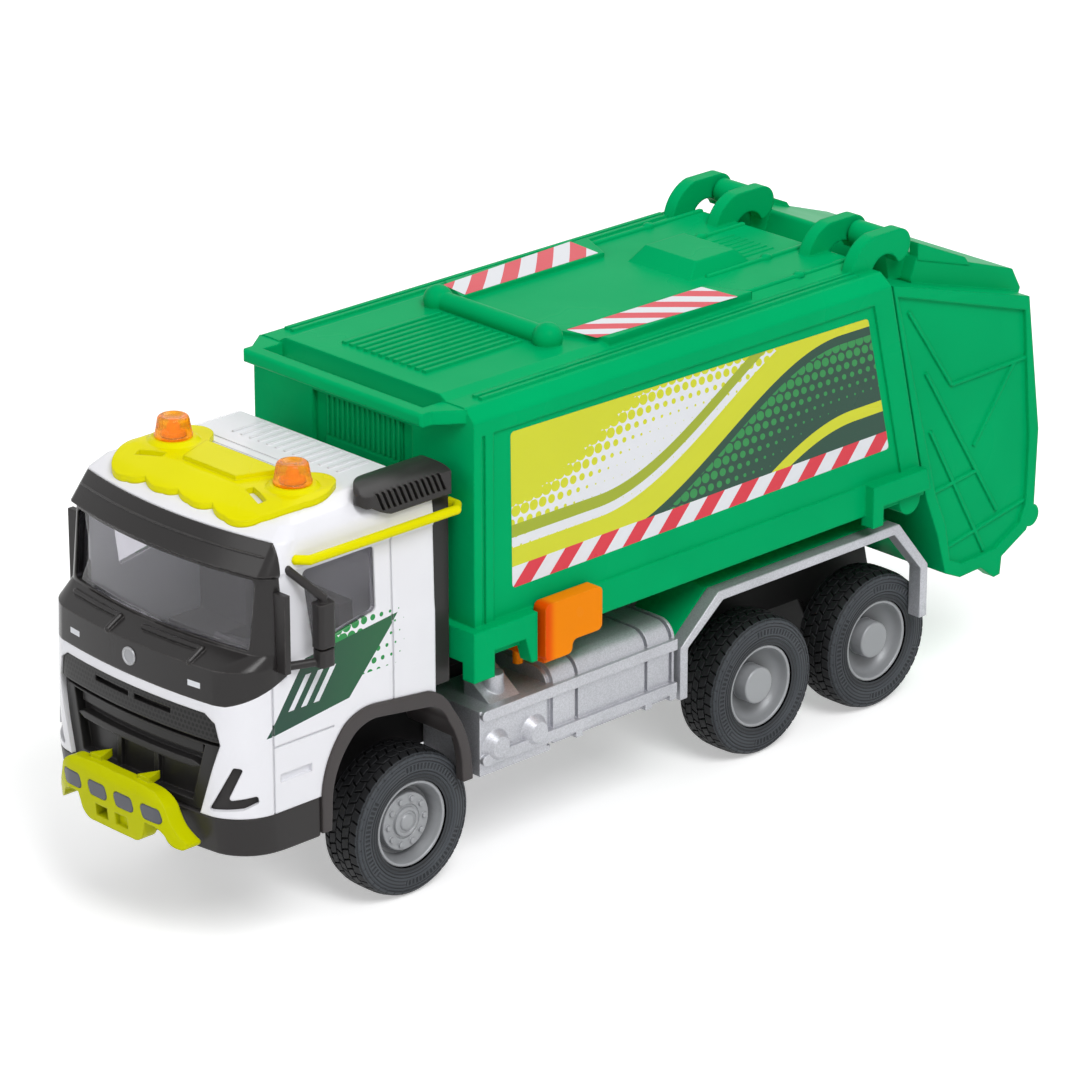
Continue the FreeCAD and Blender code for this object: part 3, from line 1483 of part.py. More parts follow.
def wheel_housing(side):
    """Green liner over both rear wheels, inboard of the silver strip."""
    liner = bent_strip(housing_thickness, housing_inner_y, fender_inner_y - seat_gap, 5)
    post = box(fender_front_x - housing_post_front_inset, fender_rear_x + housing_post_rear_inset, housing_inner_y,
               housing_inner_y + housing_thickness, fender_top_z - housing_thickness, container_low_z - seat_gap)
    solid = fuse_all([liner, post])
    return solid if side > 0 else mirrored(solid)


# Container

def container_rear_x(z):
    """The slanted rear plane's place at a height."""
    share = (roof_top_z - z) / container_height
    return container_rear_top_x - container_rear_lean * share


def container_profile(inset):
    half = []
    for sy, sz in container_section_shares:
        y = sy * body_half_width
        z = container_low_z + sz * container_height
        if sy == 1.0:
            y -= inset
        if sz == 0.0:
            z += inset
        elif sz > container_edge_share:
            z -= inset
        half.append((y, z))
    return both_halves(half, 0)


def container_block(inset, front_x):
    return prism_x(container_profile(inset), container_rear_x(container_low_z) - cut_overrun, front_x)


def rear_cutter(gap):
    """Everything behind the container's slanted rear plane, moved back by a gap."""
    low = container_low_z - container_height
    high = container_low_z + container_height * 2
    far = container_rear_x(container_low_z) * 2
    outline = [(container_rear_x(low) - gap, low), (container_rear_x(high) - gap, high), (far, high), (far, low)]
    return prism_y(outline, -body_half_width * 2, body_half_width * 2)


def container_shell():
    outer = container_block(0, container_front_x)
    outer = round_edges(outer, container_round, lambda edge: (
        runs_along(edge, 0) and edge.BoundBox.ZMin > container_low_z + cut_overrun))
    inner = container_block(container_wall, container_front_x - container_wall)
    shell = outer.cut(inner).cut(rear_cutter(0))
    panel_zone = box(container_rear_x(container_low_z), container_front_x - front_post_length,
                     body_half_width - container_side_inset, body_half_width + cut_overrun,
                     bracket_top_z, roof_seam_z - container_wall)
    recess = panel_zone.cut(rear_cutter(-rear_post_length))
    groove_x = container_front_x - front_post_length / 2
    groove = box(groove_x - post_groove_width / 2, groove_x + post_groove_width / 2,
                 body_half_width - post_groove_depth, body_half_width + cut_overrun, bracket_top_z,
                 roof_seam_z - container_wall)
    front_recess = box(container_front_x - front_panel_recess, container_front_x + cut_overrun,
                       -front_panel_half_width, front_panel_half_width, bracket_top_z,
                       roof_seam_z - container_wall * 2)
    for cutter in (recess, mirrored(recess), groove, mirrored(groove), front_recess):
        shell = shell.cut(cutter)
    parts = [shell]
    parts += front_panel_field()
    for bracket in side_brackets():
        parts += [bracket, mirrored(bracket)]
    return fuse_all(parts)


def front_panel_field():
    """The field inside the front recess, with its band and the fine ribs above it."""
    floor_x = container_front_x - front_panel_recess
    rise = roof_seam_z - bracket_top_z
    top_z = roof_seam_z - container_wall * 2
    band_z = bracket_top_z + rise * front_band_start_share
    parts = [
        box(floor_x - seat_gap, floor_x + front_field_proud, -front_field_half_width, front_field_half_width,
            bracket_top_z, top_z),
        box(floor_x - seat_gap, floor_x + front_band_proud, -front_field_half_width, front_field_half_width,
            band_z, band_z + front_band_height),
    ]
    step = front_field_half_width * 2 / front_panel_rib_count
    for index in range(front_panel_rib_count):
        y = -front_field_half_width + step * (index + 1 / 2)
        parts.append(box(floor_x - seat_gap, floor_x + front_panel_rib_proud, y - front_panel_rib_width / 2,
                         y + front_panel_rib_width / 2, bracket_top_z + rise * front_rib_start_share, top_z))
    return parts


def side_brackets():
    outer_y = body_half_width + bracket_proud
    inner_y = body_half_width - container_wall / 2
    bar_z = bracket_top_z - bracket_bar_height
    leg_z = bracket_top_z - bracket_leg_drop
    front_outline = [
        (container_front_x + bracket_proud, bracket_top_z),
        (front_bracket_rear_x, bracket_top_z),
        (front_bracket_rear_x, leg_z),
        (front_bracket_rear_x + bracket_leg_length / 2, leg_z),
        (front_bracket_rear_x + bracket_leg_length, bar_z),
        (container_front_x - bracket_leg_length, bar_z),
        (container_front_x - bracket_leg_length, leg_z),
        (container_front_x + bracket_proud, leg_z),
    ]
    front = prism_y(front_outline, inner_y, outer_y)
    sill = box(container_front_x - seat_gap, container_front_x + bracket_proud, 0, outer_y,
               bracket_top_z - front_sill_height, bracket_top_z)
    rear_x = container_rear_x(bracket_top_z)
    front_edge_x = rear_x + rear_bracket_length
    rear_leg_z = bracket_top_z - rear_bracket_leg_drop
    rear_outline = [
        (front_edge_x, bracket_top_z),
        (rear_x, bracket_top_z),
        (container_rear_x(bar_z), bar_z),
        (front_edge_x - bracket_leg_length, bar_z),
        (front_edge_x - bracket_leg_length, rear_leg_z),
        (front_edge_x, rear_leg_z),
    ]
    rear = prism_y(rear_outline, inner_y, outer_y)
    boss = cylinder_y(container_rear_x(container_low_z) + boss_inset, container_low_z, inner_y - boss_radius,
                      body_half_width + seat_gap, boss_radius)
    return [fuse_all([front, sill]), fuse_all([rear, boss])]


# Container roof fittings

def roof_edge_z():
    return container_low_z + container_section_shares[3][1] * container_height


def roof_ribs():
    ribs = []
    x1 = container_front_x - roof_rib_setback
    start = -roof_rib_pitch * (roof_rib_count - 1) / 2
    for index in range(roof_rib_count):
        y = start + roof_rib_pitch * index
        ribs.append(box(x1 - roof_rib_length, x1, y - roof_rib_width / 2, y + roof_rib_width / 2,
                        roof_top_z - seat_gap, roof_top_z + roof_rib_height))
    return ribs


def crossbar():
    x = container_front_x - crossbar_setback
    z = roof_top_z + crossbar_rise
    parts = [cylinder_y(x, z, -crossbar_half_length, crossbar_half_length, crossbar_radius)]
    for side in (1, -1):
        parts.append(Part.makeSphere(crossbar_ball_radius, vec(x, side * crossbar_half_length, z)))
    return fuse_all(parts)


def stripe_panel():
    front_x = container_front_x - stripe_panel_setback
    rear_x = front_x - stripe_panel_length
    outer_y = stripe_panel_inner_y + stripe_panel_width
    outline = [
        (front_x, stripe_panel_inner_y),
        (front_x - stripe_panel_slant, outer_y),
        (rear_x - stripe_panel_slant, outer_y),
        (rear_x, stripe_panel_inner_y),
    ]
    return prism_z(outline, roof_edge_z() - seat_gap, roof_top_z + stripe_panel_height)


def roof_boss():
    """Raised pad with sloped sides on the middle of the roof."""
    low = roof_top_z - seat_gap
    high = roof_top_z + roof_boss_height
    front_x = container_front_x - roof_boss_setback
    wires = []
    for z, inset, side_inset in ((low, 0, 0), (high, roof_boss_slope, roof_boss_side_slope)):
        x0 = front_x - roof_boss_length + inset
        x1 = front_x - inset
        y1 = roof_boss_half_width - side_inset
        corners = [vec(x0, -y1, z), vec(x1, -y1, z), vec(x1, y1, z), vec(x0, y1, z)]
        wires.append(Part.makePolygon(corners + [corners[0]]))
    return Part.makeLoft(wires, True, True)


def edge_ridges():
    ridges = []
    for place in (0, edge_ridge_gap):
        y = body_half_width - edge_ridge_inset + place
        ridges.append(box(container_rear_top_x + rear_post_length, container_front_x - front_post_length,
                          y, y + edge_ridge_width, roof_edge_z() - seat_gap, roof_edge_z() + edge_ridge_height))
    return ridges


def lip_bar():
    """Bar ahead of the roof's front edge, with the open slot behind it."""
    top_z = roof_top_z - lip_top_drop
    low_z = top_z - lip_height
    front_x = container_front_x + lip_reach
    half_width = body_half_width - lip_inset
    outer = both_halves([
        (front_x, half_width),
        (front_x - lip_bar_width, half_width),
        (container_front_x - seat_gap, body_half_width * lip_root_share),
    ], 1)
    bar = prism_z(outer, low_z, top_z)
    bar = round_edges(bar, lip_round, lambda edge: edge.BoundBox.XMin > front_x - lip_round)
    slot = box(container_front_x, container_front_x + lip_slot_length, -half_width + lip_bar_width,
               half_width - lip_bar_width, low_z - cut_overrun, top_z + cut_overrun)
    return bar.cut(slot)


def hinge_arm(y):
    """One arched arm from the roof back to the hinge pin."""
    foot_front = container_rear_top_x + hinge_arm_foot_inset
    foot_rear = foot_front - hinge_arm_foot_length
    base_z = roof_edge_z() - cut_overrun
    radius = hinge_arm_tip_radius
    tip_top = hinge_z + radius
    outline = [
        (foot_front, base_z, False),
        (foot_front - radius * hinge_arm_bend_share, tip_top - radius * hinge_arm_bend_drop_share, True),
        (foot_front - radius * hinge_arm_back_share, tip_top, False),
        (hinge_x, tip_top, False),
        (hinge_x - radius, hinge_z, True),
        (hinge_x, hinge_z - radius, False),
        (foot_rear - radius * hinge_arm_belly_share, hinge_z - radius * hinge_arm_bend_share, True),
        (foot_rear, base_z, False),
    ]
    return bent_prism_y(outline, y - hinge_arm_width / 2, y + hinge_arm_width / 2)


def hinge_cluster():
    arms = [hinge_arm(y) for y in (hinge_inner_arm_y, hinge_outer_arm_y)]
    pin = cylinder_y(hinge_x, hinge_z, hinge_inner_arm_y, hinge_outer_arm_y, hinge_pin_radius)
    return fuse_all(arms + [pin])


def container():
    parts = [container_shell(), crossbar(), roof_boss(), lip_bar()]
    parts += roof_ribs()
    for piece in [stripe_panel(), hinge_cluster()] + edge_ridges():
        parts += [piece, mirrored(piece)]
    return fuse_all(parts)


# Tailgate

def tailgate_outline(shares):
    return share_outline(shares, tailgate_start_x, tailgate_low_z, -tailgate_length, tailgate_height)


def tailgate_points():
    points = tailgate_outline(tailgate_outline_shares)
    for index, (sx, sz) in enumerate(tailgate_outline_shares):
        if sx == 0.0 or index == len(points) - 1:
            z = points[index][1]
            points[index] = (container_rear_x(z) - tailgate_gap, z)
    return points


def tailgate_inner_points(wall):
    points = tailgate_points()
    centre_x = sum(x for x, z in points) / len(points)
    centre_z = sum(z for x, z in points) / len(points)
    shrunk = []
    for x, z in points:
        away = math.hypot(x - centre_x, z - centre_z)
        factor = (away - wall * tailgate_inset_share) / away
        shrunk.append((centre_x + (x - centre_x) * factor, centre_z + (z - centre_z) * factor))
    return shrunk


def tailgate():
    """Hollow rear body with its mouth, hinge barrels, crown, ribbed sides and the lifter's bearings."""
    outer = prism_y(tailgate_points(), -body_half_width, body_half_width)
    inner_half = body_half_width - tailgate_wall
    inner = prism_y(tailgate_inner_points(tailgate_wall), -inner_half, inner_half)
    front_opening = box(tailgate_start_x + cut_overrun,
                        tailgate_start_x - tailgate_length * tailgate_front_open_share, -inner_half, inner_half,
                        container_low_z, roof_seam_z - tailgate_wall * 2)
    shell = outer.cut(inner).cut(front_opening.common(front_zone()))
    mouth = box(tailgate_rear_x - cut_overrun, tailgate_rear_x + tailgate_wall * 4, -mouth_half_width,
                mouth_half_width, mouth_low_z, mouth_low_z + mouth_height)
    shell = shell.cut(mouth)
    floor_y = body_half_width - tailgate_panel_inset
    recess = prism_y(tailgate_inner_points(tailgate_rim_width), floor_y, body_half_width + cut_overrun)
    shell = shell.cut(recess).cut(mirrored(recess))
    ribs = []
    for start, end in tailgate_rib_shares:
        ribs.append(tailgate_rib(start, end, floor_y).common(recess))
    left = fuse_all(tailgate_lugs() + [crown_ridge(), tailgate_foot()])
    parts = [shell, crown(), left, mirrored(left)]
    for rib in ribs:
        parts += [rib, mirrored(rib)]
    body = fuse_all(parts)
    for side in (1, -1):
        body = body.cut(cylinder_y(hinge_x, hinge_z, side * hinge_inner_arm_y, side * hinge_outer_arm_y,
                                   hinge_pin_radius + hinge_running_gap))
        body = body.cut(cylinder_y(lifter_pivot_x, lifter_pivot_z, side * (mouth_half_width - cut_overrun),
                                   side * (body_half_width - tailgate_wall / 2),
                                   lifter_shaft_radius + hinge_running_gap))
    return body


def tailgate_rib(start, end, floor_y):
    """A narrow raised line between two places of the side panel."""
    first, last = tailgate_outline((start, end))
    run_x = last[0] - first[0]
    run_z = last[1] - first[1]
    away = math.hypot(run_x, run_z)
    half_x = -run_z / away * tailgate_rib_width / 2
    half_z = run_x / away * tailgate_rib_width / 2
    outline = [
        (first[0] + half_x, first[1] + half_z),
        (last[0] + half_x, last[1] + half_z),
        (last[0] - half_x, last[1] - half_z),
        (first[0] - half_x, first[1] - half_z),
    ]
    return prism_y(outline, floor_y - tailgate_rib_height, floor_y + tailgate_rib_height)


def front_zone():
    """The band just behind the container's rear plane, where the tailgate is open."""
    depth = tailgate_wall * tailgate_front_band_share
    return rear_cutter(-depth).cut(rear_cutter(depth))


def crown():
    """Raised middle of the top plate, from the hinge barrels back over the rear edge."""
    half = body_half_width - crown_inset
    solid = prism_y(tailgate_outline(crown_outline_shares), -half, half)
    top_z = tailgate_low_z + tailgate_height * crown_round_share
    return round_edges(solid, crown_round, lambda edge: runs_along(edge, 1) and edge.BoundBox.ZMin > top_z)


def crown_ridge():
    y = hinge_outer_arm_y
    half = crown_ridge_width / 2
    return prism_y(tailgate_outline(crown_ridge_shares), y - half, y + half)


def tailgate_foot():
    return prism_y(tailgate_outline(tailgate_foot_shares), body_half_width - tailgate_foot_width, body_half_width)


def tailgate_lugs():
    """The hinge barrel between the two arms, its web down to the top plate, and the lifter's bearing."""
    y0 = hinge_inner_arm_y + hinge_arm_width / 2 + hinge_lug_side_gap
    y1 = hinge_outer_arm_y - hinge_arm_width / 2 - hinge_lug_side_gap
    barrel = cylinder_y(hinge_x, hinge_z, y0, y1, hinge_lug_radius)
    top_z = tailgate_points()[0][1]
    web_outline = []
    for back_share, drop_share in hinge_web_shares:
        web_outline.append((hinge_x - hinge_lug_radius * back_share, hinge_z - (hinge_z - top_z) * drop_share))
    web = prism_y(web_outline, y0, y1)
    lug = cylinder_y(lifter_pivot_x, lifter_pivot_z, body_half_width - tailgate_wall * 2, body_half_width,
                     lifter_lug_radius)
    return [barrel, web, lug]


def packer_plate():
    """The bent plate that sweeps the refuse forward, fixed between the hopper's side walls."""
    outer = tailgate_outline(packer_outline_shares)
    inner = [(x + packer_thickness, z - packer_thickness * packer_lean_share) for x, z in outer]
    half = body_half_width - tailgate_wall - seat_gap
    return prism_y(outer + list(reversed(inner)), -half, half)


# Bin lifter

def bin_lifter():
    """Cross shaft with two upright arms that end in open hooks."""
    shaft_half = body_half_width - tailgate_wall * lifter_shaft_end_share
    shaft = cylinder_y(lifter_pivot_x, lifter_pivot_z, -shaft_half, shaft_half, lifter_shaft_radius)
    arm = lifter_arm()
    return fuse_all([shaft, arm, mirrored(arm)])


def lifter_arm():
    x0 = lifter_pivot_x - lifter_arm_depth / 2
    x1 = lifter_pivot_x + lifter_arm_depth / 2
    low_z = lifter_pivot_z - lifter_arm_depth / 2
    top_z = lifter_pivot_z + lifter_arm_length
    reach_x = x1 + lifter_hook_reach
    floor_z = top_z - lifter_hook_height
    outline = [
        (x1, low_z),
        (x1, lifter_pivot_z + lifter_arm_straight),
        (reach_x, floor_z - lifter_hook_floor),
        (reach_x, top_z),
        (reach_x - lifter_hook_tip, top_z),
        (reach_x - lifter_hook_tip, floor_z),
        (x0 + lifter_hook_tip, floor_z),
        (x0 + lifter_hook_tip, top_z - lifter_hook_tip),
        (x0, top_z - lifter_hook_tip),
        (x0, low_z),
    ]
    return prism_y(outline, lifter_arm_y - lifter_arm_width / 2, lifter_arm_y + lifter_arm_width / 2)


def main():
    os.makedirs("parts", exist_ok=True)
    save("chassis_frame", chassis_frame())
    cab_outer = cab_form(0, 0)
    shell, surround = cab_shell_and_surround()
    save("cab_shell", shell)
    save("windscreen_surround", fuse_all([surround] + wipers()))
    save("windscreen_glass", windscreen_glass())
    save("side_glass", side_glass())
    save("headlamp_slots", headlamp_slots())
    save("grille", grille())
    save("bumper", bumper())
    save("cab_interior", cab_interior())
    save("air_intake", air_intake(cab_outer))
    save("light_bar", light_bar(cab_outer))
    save("bull_bar", bull_bar())
    save("bull_bar_lamps", bull_bar_lamps())
    save("lever", lever())
    for name, side in (("left", 1), ("right", -1)):
        save("wheel_arch_" + name, wheel_arch(side))
        save("handrail_" + name, handrail(side, cab_outer))
        save("mirror_" + name, mirror(side, cab_outer))
        save("beacon_" + name, beacon(side))
        save("side_tank_" + name, side_tank(side))
        save("rear_fender_" + name, rear_fender(side))
        save("wheel_housing_" + name, wheel_housing(side))
    axles = (
        ("front", front_axle_x, front_cap_radius, front_cap_height, True),
        ("middle", rear_axle_1_x, rear_cap_radius, rear_cap_height, False),
        ("rear", rear_axle_2_x, rear_cap_radius, rear_cap_height, False),
    )
    for place, axle_x, cap_radius, cap_height, bolted in axles:
        save(place + "_axle_pin", axle_pin(axle_x))
        for name, side in (("left", 1), ("right", -1)):
            save(place + "_wheel_" + name, wheel(axle_x, side, cap_radius, cap_height, bolted))
            save(place + "_tyre_" + name, tyre(axle_x, side))
    save("container", container())
    save("tailgate", tailgate())
    save("packer_plate", packer_plate())
    save("bin_lifter", bin_lifter())


main()
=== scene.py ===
"""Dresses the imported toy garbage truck: rounded, finished copies of its solids, with prints, treads and lenses."""
import json
import logging
import math
from collections.abc import Sequence
from dataclasses import dataclass, field, replace
from enum import Enum

import bmesh
import bpy
import numpy as np
from mathutils import Matrix, Vector
from mathutils.bvhtree import BVHTree


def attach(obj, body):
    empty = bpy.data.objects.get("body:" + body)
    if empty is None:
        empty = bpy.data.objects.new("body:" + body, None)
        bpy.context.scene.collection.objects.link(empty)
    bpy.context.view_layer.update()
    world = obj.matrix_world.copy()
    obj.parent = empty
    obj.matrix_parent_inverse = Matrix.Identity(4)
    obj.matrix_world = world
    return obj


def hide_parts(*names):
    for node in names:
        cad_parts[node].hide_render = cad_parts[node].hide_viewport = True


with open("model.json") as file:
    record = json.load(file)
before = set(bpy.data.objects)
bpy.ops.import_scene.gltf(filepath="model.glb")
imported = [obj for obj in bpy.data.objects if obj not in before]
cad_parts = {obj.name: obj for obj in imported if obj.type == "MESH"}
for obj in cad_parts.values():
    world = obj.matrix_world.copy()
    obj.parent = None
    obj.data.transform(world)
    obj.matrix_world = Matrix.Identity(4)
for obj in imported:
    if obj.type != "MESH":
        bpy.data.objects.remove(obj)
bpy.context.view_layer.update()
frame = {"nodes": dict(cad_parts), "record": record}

MM = 0.001
JOIN_DISTANCE = 0.001
# Height of the axles, which is the tyres' radius too.
AXLE_Z = 14.4
UP = (0.0, 0.0, 1.0)
SIDES = (("left", 1), ("right", -1))
LOG = logging.getLogger("truck")

Colour = tuple[float, float, float]
Point = tuple[float, float, float]
Span = tuple[float, float]
Socket = bpy.types.NodeSocket


def linear(red: int, green: int, blue: int) -> Colour:
    """A display colour of 0 to 255 as linear light: a straight toe, then each share raised to the power 2.4."""
    shares = np.array((red, green, blue)) / 255.0
    light = np.where(shares <= 0.04045, shares / 12.92, ((shares + 0.055) / 1.055) ** 2.4)
    return tuple(float(value) for value in light)


class Shading:
    """Places nodes in one tree and joins their sockets."""

    def __init__(self, tree: bpy.types.NodeTree) -> None:
        """Keeps the tree that the nodes go into."""
        self.tree = tree

    def feed(self, socket: Socket, value: object) -> None:
        """Joins a socket to another one, or sets it to a plain value.

        Args:
            socket: the input to feed.
            value: an output socket, a number, a vector or a colour.
        """
        if isinstance(value, bpy.types.NodeSocket):
            self.tree.links.new(value, socket)
        elif socket.type == "RGBA" and len(value) == 3:
            socket.default_value = (*value, 1.0)
        else:
            socket.default_value = value

    def node(self, kind: str, settings: dict[str, object] | None = None,
             inputs: dict[str | int, object] | None = None) -> bpy.types.Node:
        """Adds one node.

        Args:
            kind: the node's type name.
            settings: properties to set on it.
            inputs: what each named or numbered input gets.

        Returns:
            The new node.
        """
        made = self.tree.nodes.new(kind)
        for name, value in (settings or {}).items():
            setattr(made, name, value)
        for name, value in (inputs or {}).items():
            self.feed(made.inputs[name], value)
        return made

    def group(self, tree: bpy.types.NodeTree, *values: object) -> bpy.types.NodeOutputs:
        """Places a shared effect, feeds its inputs in order and gives its outputs."""
        return self.node("ShaderNodeGroup", {"node_tree": tree}, dict(enumerate(values))).outputs

    def place(self) -> Socket:
        """Object coordinates, in metres."""
        return self.node("ShaderNodeTexCoord").outputs["Object"]

    def apart(self, vector: Socket) -> bpy.types.NodeOutputs:
        """The three parts of a vector."""
        return self.node("ShaderNodeSeparateXYZ", None, {0: vector}).outputs

    def noise(self, place: Socket, scale: object, detail: float = 2.0, roughness: float = 0.5) -> Socket:
        """The value of a noise texture."""
        return self.node("ShaderNodeTexNoise", None,
                         {"Vector": place, "Scale": scale, "Detail": detail, "Roughness": roughness}).outputs[0]

    def maths(self, operation: str, *values: object) -> Socket:
        """One Math node over the values, and its result."""
        return self.node("ShaderNodeMath", {"operation": operation}, dict(enumerate(values))).outputs[0]

    def product(self, first: object, *others: object) -> Socket:
        """All the values multiplied together."""
        for other in others:
            first = self.maths("MULTIPLY", first, other)
        return first

    def reach(self, first: Socket, second: Socket) -> Socket:
        """The root of the sum of two squares."""
        return self.maths("SQRT", self.maths("ADD", *(self.maths("POWER", value, 2.0) for value in (first, second))))

    def ramp(self, base: object, slope: float, more: object, less: object) -> Socket:
        """A base plus a slope times the difference of two values."""
        return self.maths("MULTIPLY_ADD", self.maths("SUBTRACT", more, less), slope, base)

    def blend(self, share: object, first: object, second: object) -> Socket:
        """A colour that goes from the first to the second with the share."""
        return self.node("ShaderNodeMix", {"data_type": "RGBA"}, {0: share, 6: first, 7: second}).outputs[2]

    def between(self, value: object, low: float, high: float) -> Socket:
        """1 where the value lies between the two bounds, otherwise 0."""
        return self.product(self.maths("GREATER_THAN", value, low), self.maths("LESS_THAN", value, high))

    def spread(self, value: object, low: float, high: float, to_low: float, to_high: float,
               smooth: bool = False) -> Socket:
        """Carries a value from one range onto another, held at the ends."""
        interpolation = "SMOOTHSTEP" if smooth else "LINEAR"
        return self.node("ShaderNodeMapRange", {"interpolation_type": interpolation},
                         {0: value, 1: low, 2: high, 3: to_low, 4: to_high}).outputs[0]


def effect(name: str, inputs: Sequence[str], outputs: Sequence[str]) -> tuple:
    """Starts one shared effect as a shader node group. A Place or a Normal is a vector, all else is a number.

    Args:
        name: the group's name.
        inputs: the name of each input.
        outputs: the name of each output.

    Returns:
        The group, the sockets that give its inputs, the sockets that take its outputs, and its Shading.
    """
    tree = bpy.data.node_groups.new(name, "ShaderNodeTree")
    for way, labels in (("INPUT", inputs), ("OUTPUT", outputs)):
        for label in labels:
            kind = "NodeSocketVector" if label in ("Place", "Normal") else "NodeSocketFloat"
            tree.interface.new_socket(name=label, in_out=way, socket_type=kind)
    s = Shading(tree)
    return tree, s.node("NodeGroupInput").outputs, s.node("NodeGroupOutput").inputs, s


class Effects:
    """The shared effects of the finishes, each built once."""

    # Noise and cell sizes, as repeats per metre.
    TONE_SCALE = 55.0
    SPECK_SCALE = 420.0
    EDGE_BREAK_SCALE = 700.0
    FINE_DETAIL = 3.0
    GRAIN_ROUGHNESS = 0.6
    # A speck fades out between these distances from the middle of its cell.
    SPECK_FADE = (0.06, 0.12)
    BEVEL_SAMPLES = 4
    # Cosines of the normal's turn where the painted edge colour starts and where it is full.
    EDGE_TURNS = (0.985, 0.80)
    # The noise that breaks the painted edge colour up: its range, and what is left of it at both ends.
    EDGE_BREAKS = (0.38, 0.62, 0.35, 1.0)

    def __init__(self) -> None:
        """Builds every group."""
        self.grain = self._grain()
        self.edge_highlight_and_frame = self._edge_highlight_and_frame()
        self.hazard = self._hazard()
        self.dots = self._dots()
        self.millimetres = self._millimetres()
        self.about_axle = self._about_axle()

    def _grain(self) -> bpy.types.NodeTree:
        """Moulding grain: fine noise for height, wide noise for tone, and sparse specks."""
        tree, given, out, s = effect("moulding_grain", ("Place", "Fineness"), ("Height", "Tone", "Speck"))
        place = given["Place"]
        cells = s.node("ShaderNodeTexVoronoi", {"feature": "F1"}, {"Vector": place, "Scale": self.SPECK_SCALE})
        s.feed(out["Height"], s.noise(place, given["Fineness"], self.FINE_DETAIL, self.GRAIN_ROUGHNESS))
        s.feed(out["Tone"], s.noise(place, self.TONE_SCALE))
        s.feed(out["Speck"], s.spread(cells.outputs["Distance"], *self.SPECK_FADE, 1.0, 0.0))
        return tree

    def _edge_highlight_and_frame(self) -> bpy.types.NodeTree:
        """Soft edges for each finish's edge colour, mostly a painted highlight: how far the normal turns within a
        small radius, broken up by noise, and that normal.
        """
        tree, given, out, s = effect("edge_highlight_and_frame_group", ("Place", "Amount", "Radius"), ("Mask", "Normal"))
        soft = s.node("ShaderNodeBevel", {"samples": self.BEVEL_SAMPLES}, {"Radius": given["Radius"]}).outputs[0]
        turn = s.node("ShaderNodeVectorMath", {"operation": "DOT_PRODUCT"},
                      {0: soft, 1: s.node("ShaderNodeNewGeometry").outputs["Normal"]}).outputs["Value"]
        broken = s.spread(s.noise(given["Place"], self.EDGE_BREAK_SCALE, self.FINE_DETAIL), *self.EDGE_BREAKS)
        s.feed(out["Mask"], s.product(s.spread(turn, *self.EDGE_TURNS, 0.0, 1.0), broken, given["Amount"]))
        s.feed(out["Normal"], soft)
        return tree

    def _hazard(self) -> bpy.types.NodeTree:
        """Slanted warning stripes: a square wave of the way along plus a lean times the way across."""
        tree, given, out, s = effect("hazard_stripes", ("Along", "Across", "Pitch", "Lean"), ("Mask",))
        run = s.maths("MULTIPLY_ADD", given["Across"], given["Lean"], given["Along"])
        wave = s.maths("FRACT", s.maths("DIVIDE", run, given["Pitch"]))
        s.feed(out["Mask"], s.maths("LESS_THAN", wave, 0.5))
        return tree

    def _dots(self) -> bpy.types.NodeTree:
        """Rows of round dots, every other row half a pitch on, whose radius is a share of their pitch."""
        tree, given, out, s = effect("fading_dots", ("Along", "Across", "Pitch", "Radius"), ("Mask",))
        across = s.maths("DIVIDE", given["Across"], given["Pitch"])
        shift = s.product(s.maths("MODULO", s.maths("FLOOR", across), 2.0), 0.5)
        along = s.maths("ADD", s.maths("DIVIDE", given["Along"], given["Pitch"]), shift)
        left, up = (s.maths("SUBTRACT", s.maths("FRACT", value), 0.5) for value in (along, across))
        s.feed(out["Mask"], s.maths("LESS_THAN", s.reach(left, up), given["Radius"]))
        return tree

    def _millimetres(self) -> bpy.types.NodeTree:
        """A place in metres as three plain numbers of millimetres."""
        tree, given, out, s = effect("millimetres", ("Place",), ("X", "Y", "Z"))
        for label, part in zip("XYZ", s.apart(given["Place"])):
            s.feed(out[label], s.product(part, 1.0 / MM))
        return tree

    def _about_axle(self) -> bpy.types.NodeTree:
        """Distance from an axle that lies along y, and the turn about it, from a place in metres."""
        tree, given, out, s = effect("about_axle", ("Place", "Axle X", "Axle Z"), ("Radius", "Turn"))
        parts = s.apart(given["Place"])
        ahead, above = (s.maths("SUBTRACT", s.product(parts[axis], 1.0 / MM), given["Axle " + axis]) for axis in "XZ")
        s.feed(out["Radius"], s.reach(ahead, above))
        s.feed(out["Turn"], s.maths("ARCTAN2", above, ahead))
        return tree


EFFECTS = Effects()


def empty_material(label: str) -> tuple[bpy.types.Material, Shading]:
    """A new material without nodes, and the Shading that fills it."""
    made = bpy.data.materials.new(label)
    made.use_nodes = True
    made.node_tree.nodes.clear()
    return made, Shading(made.node_tree)


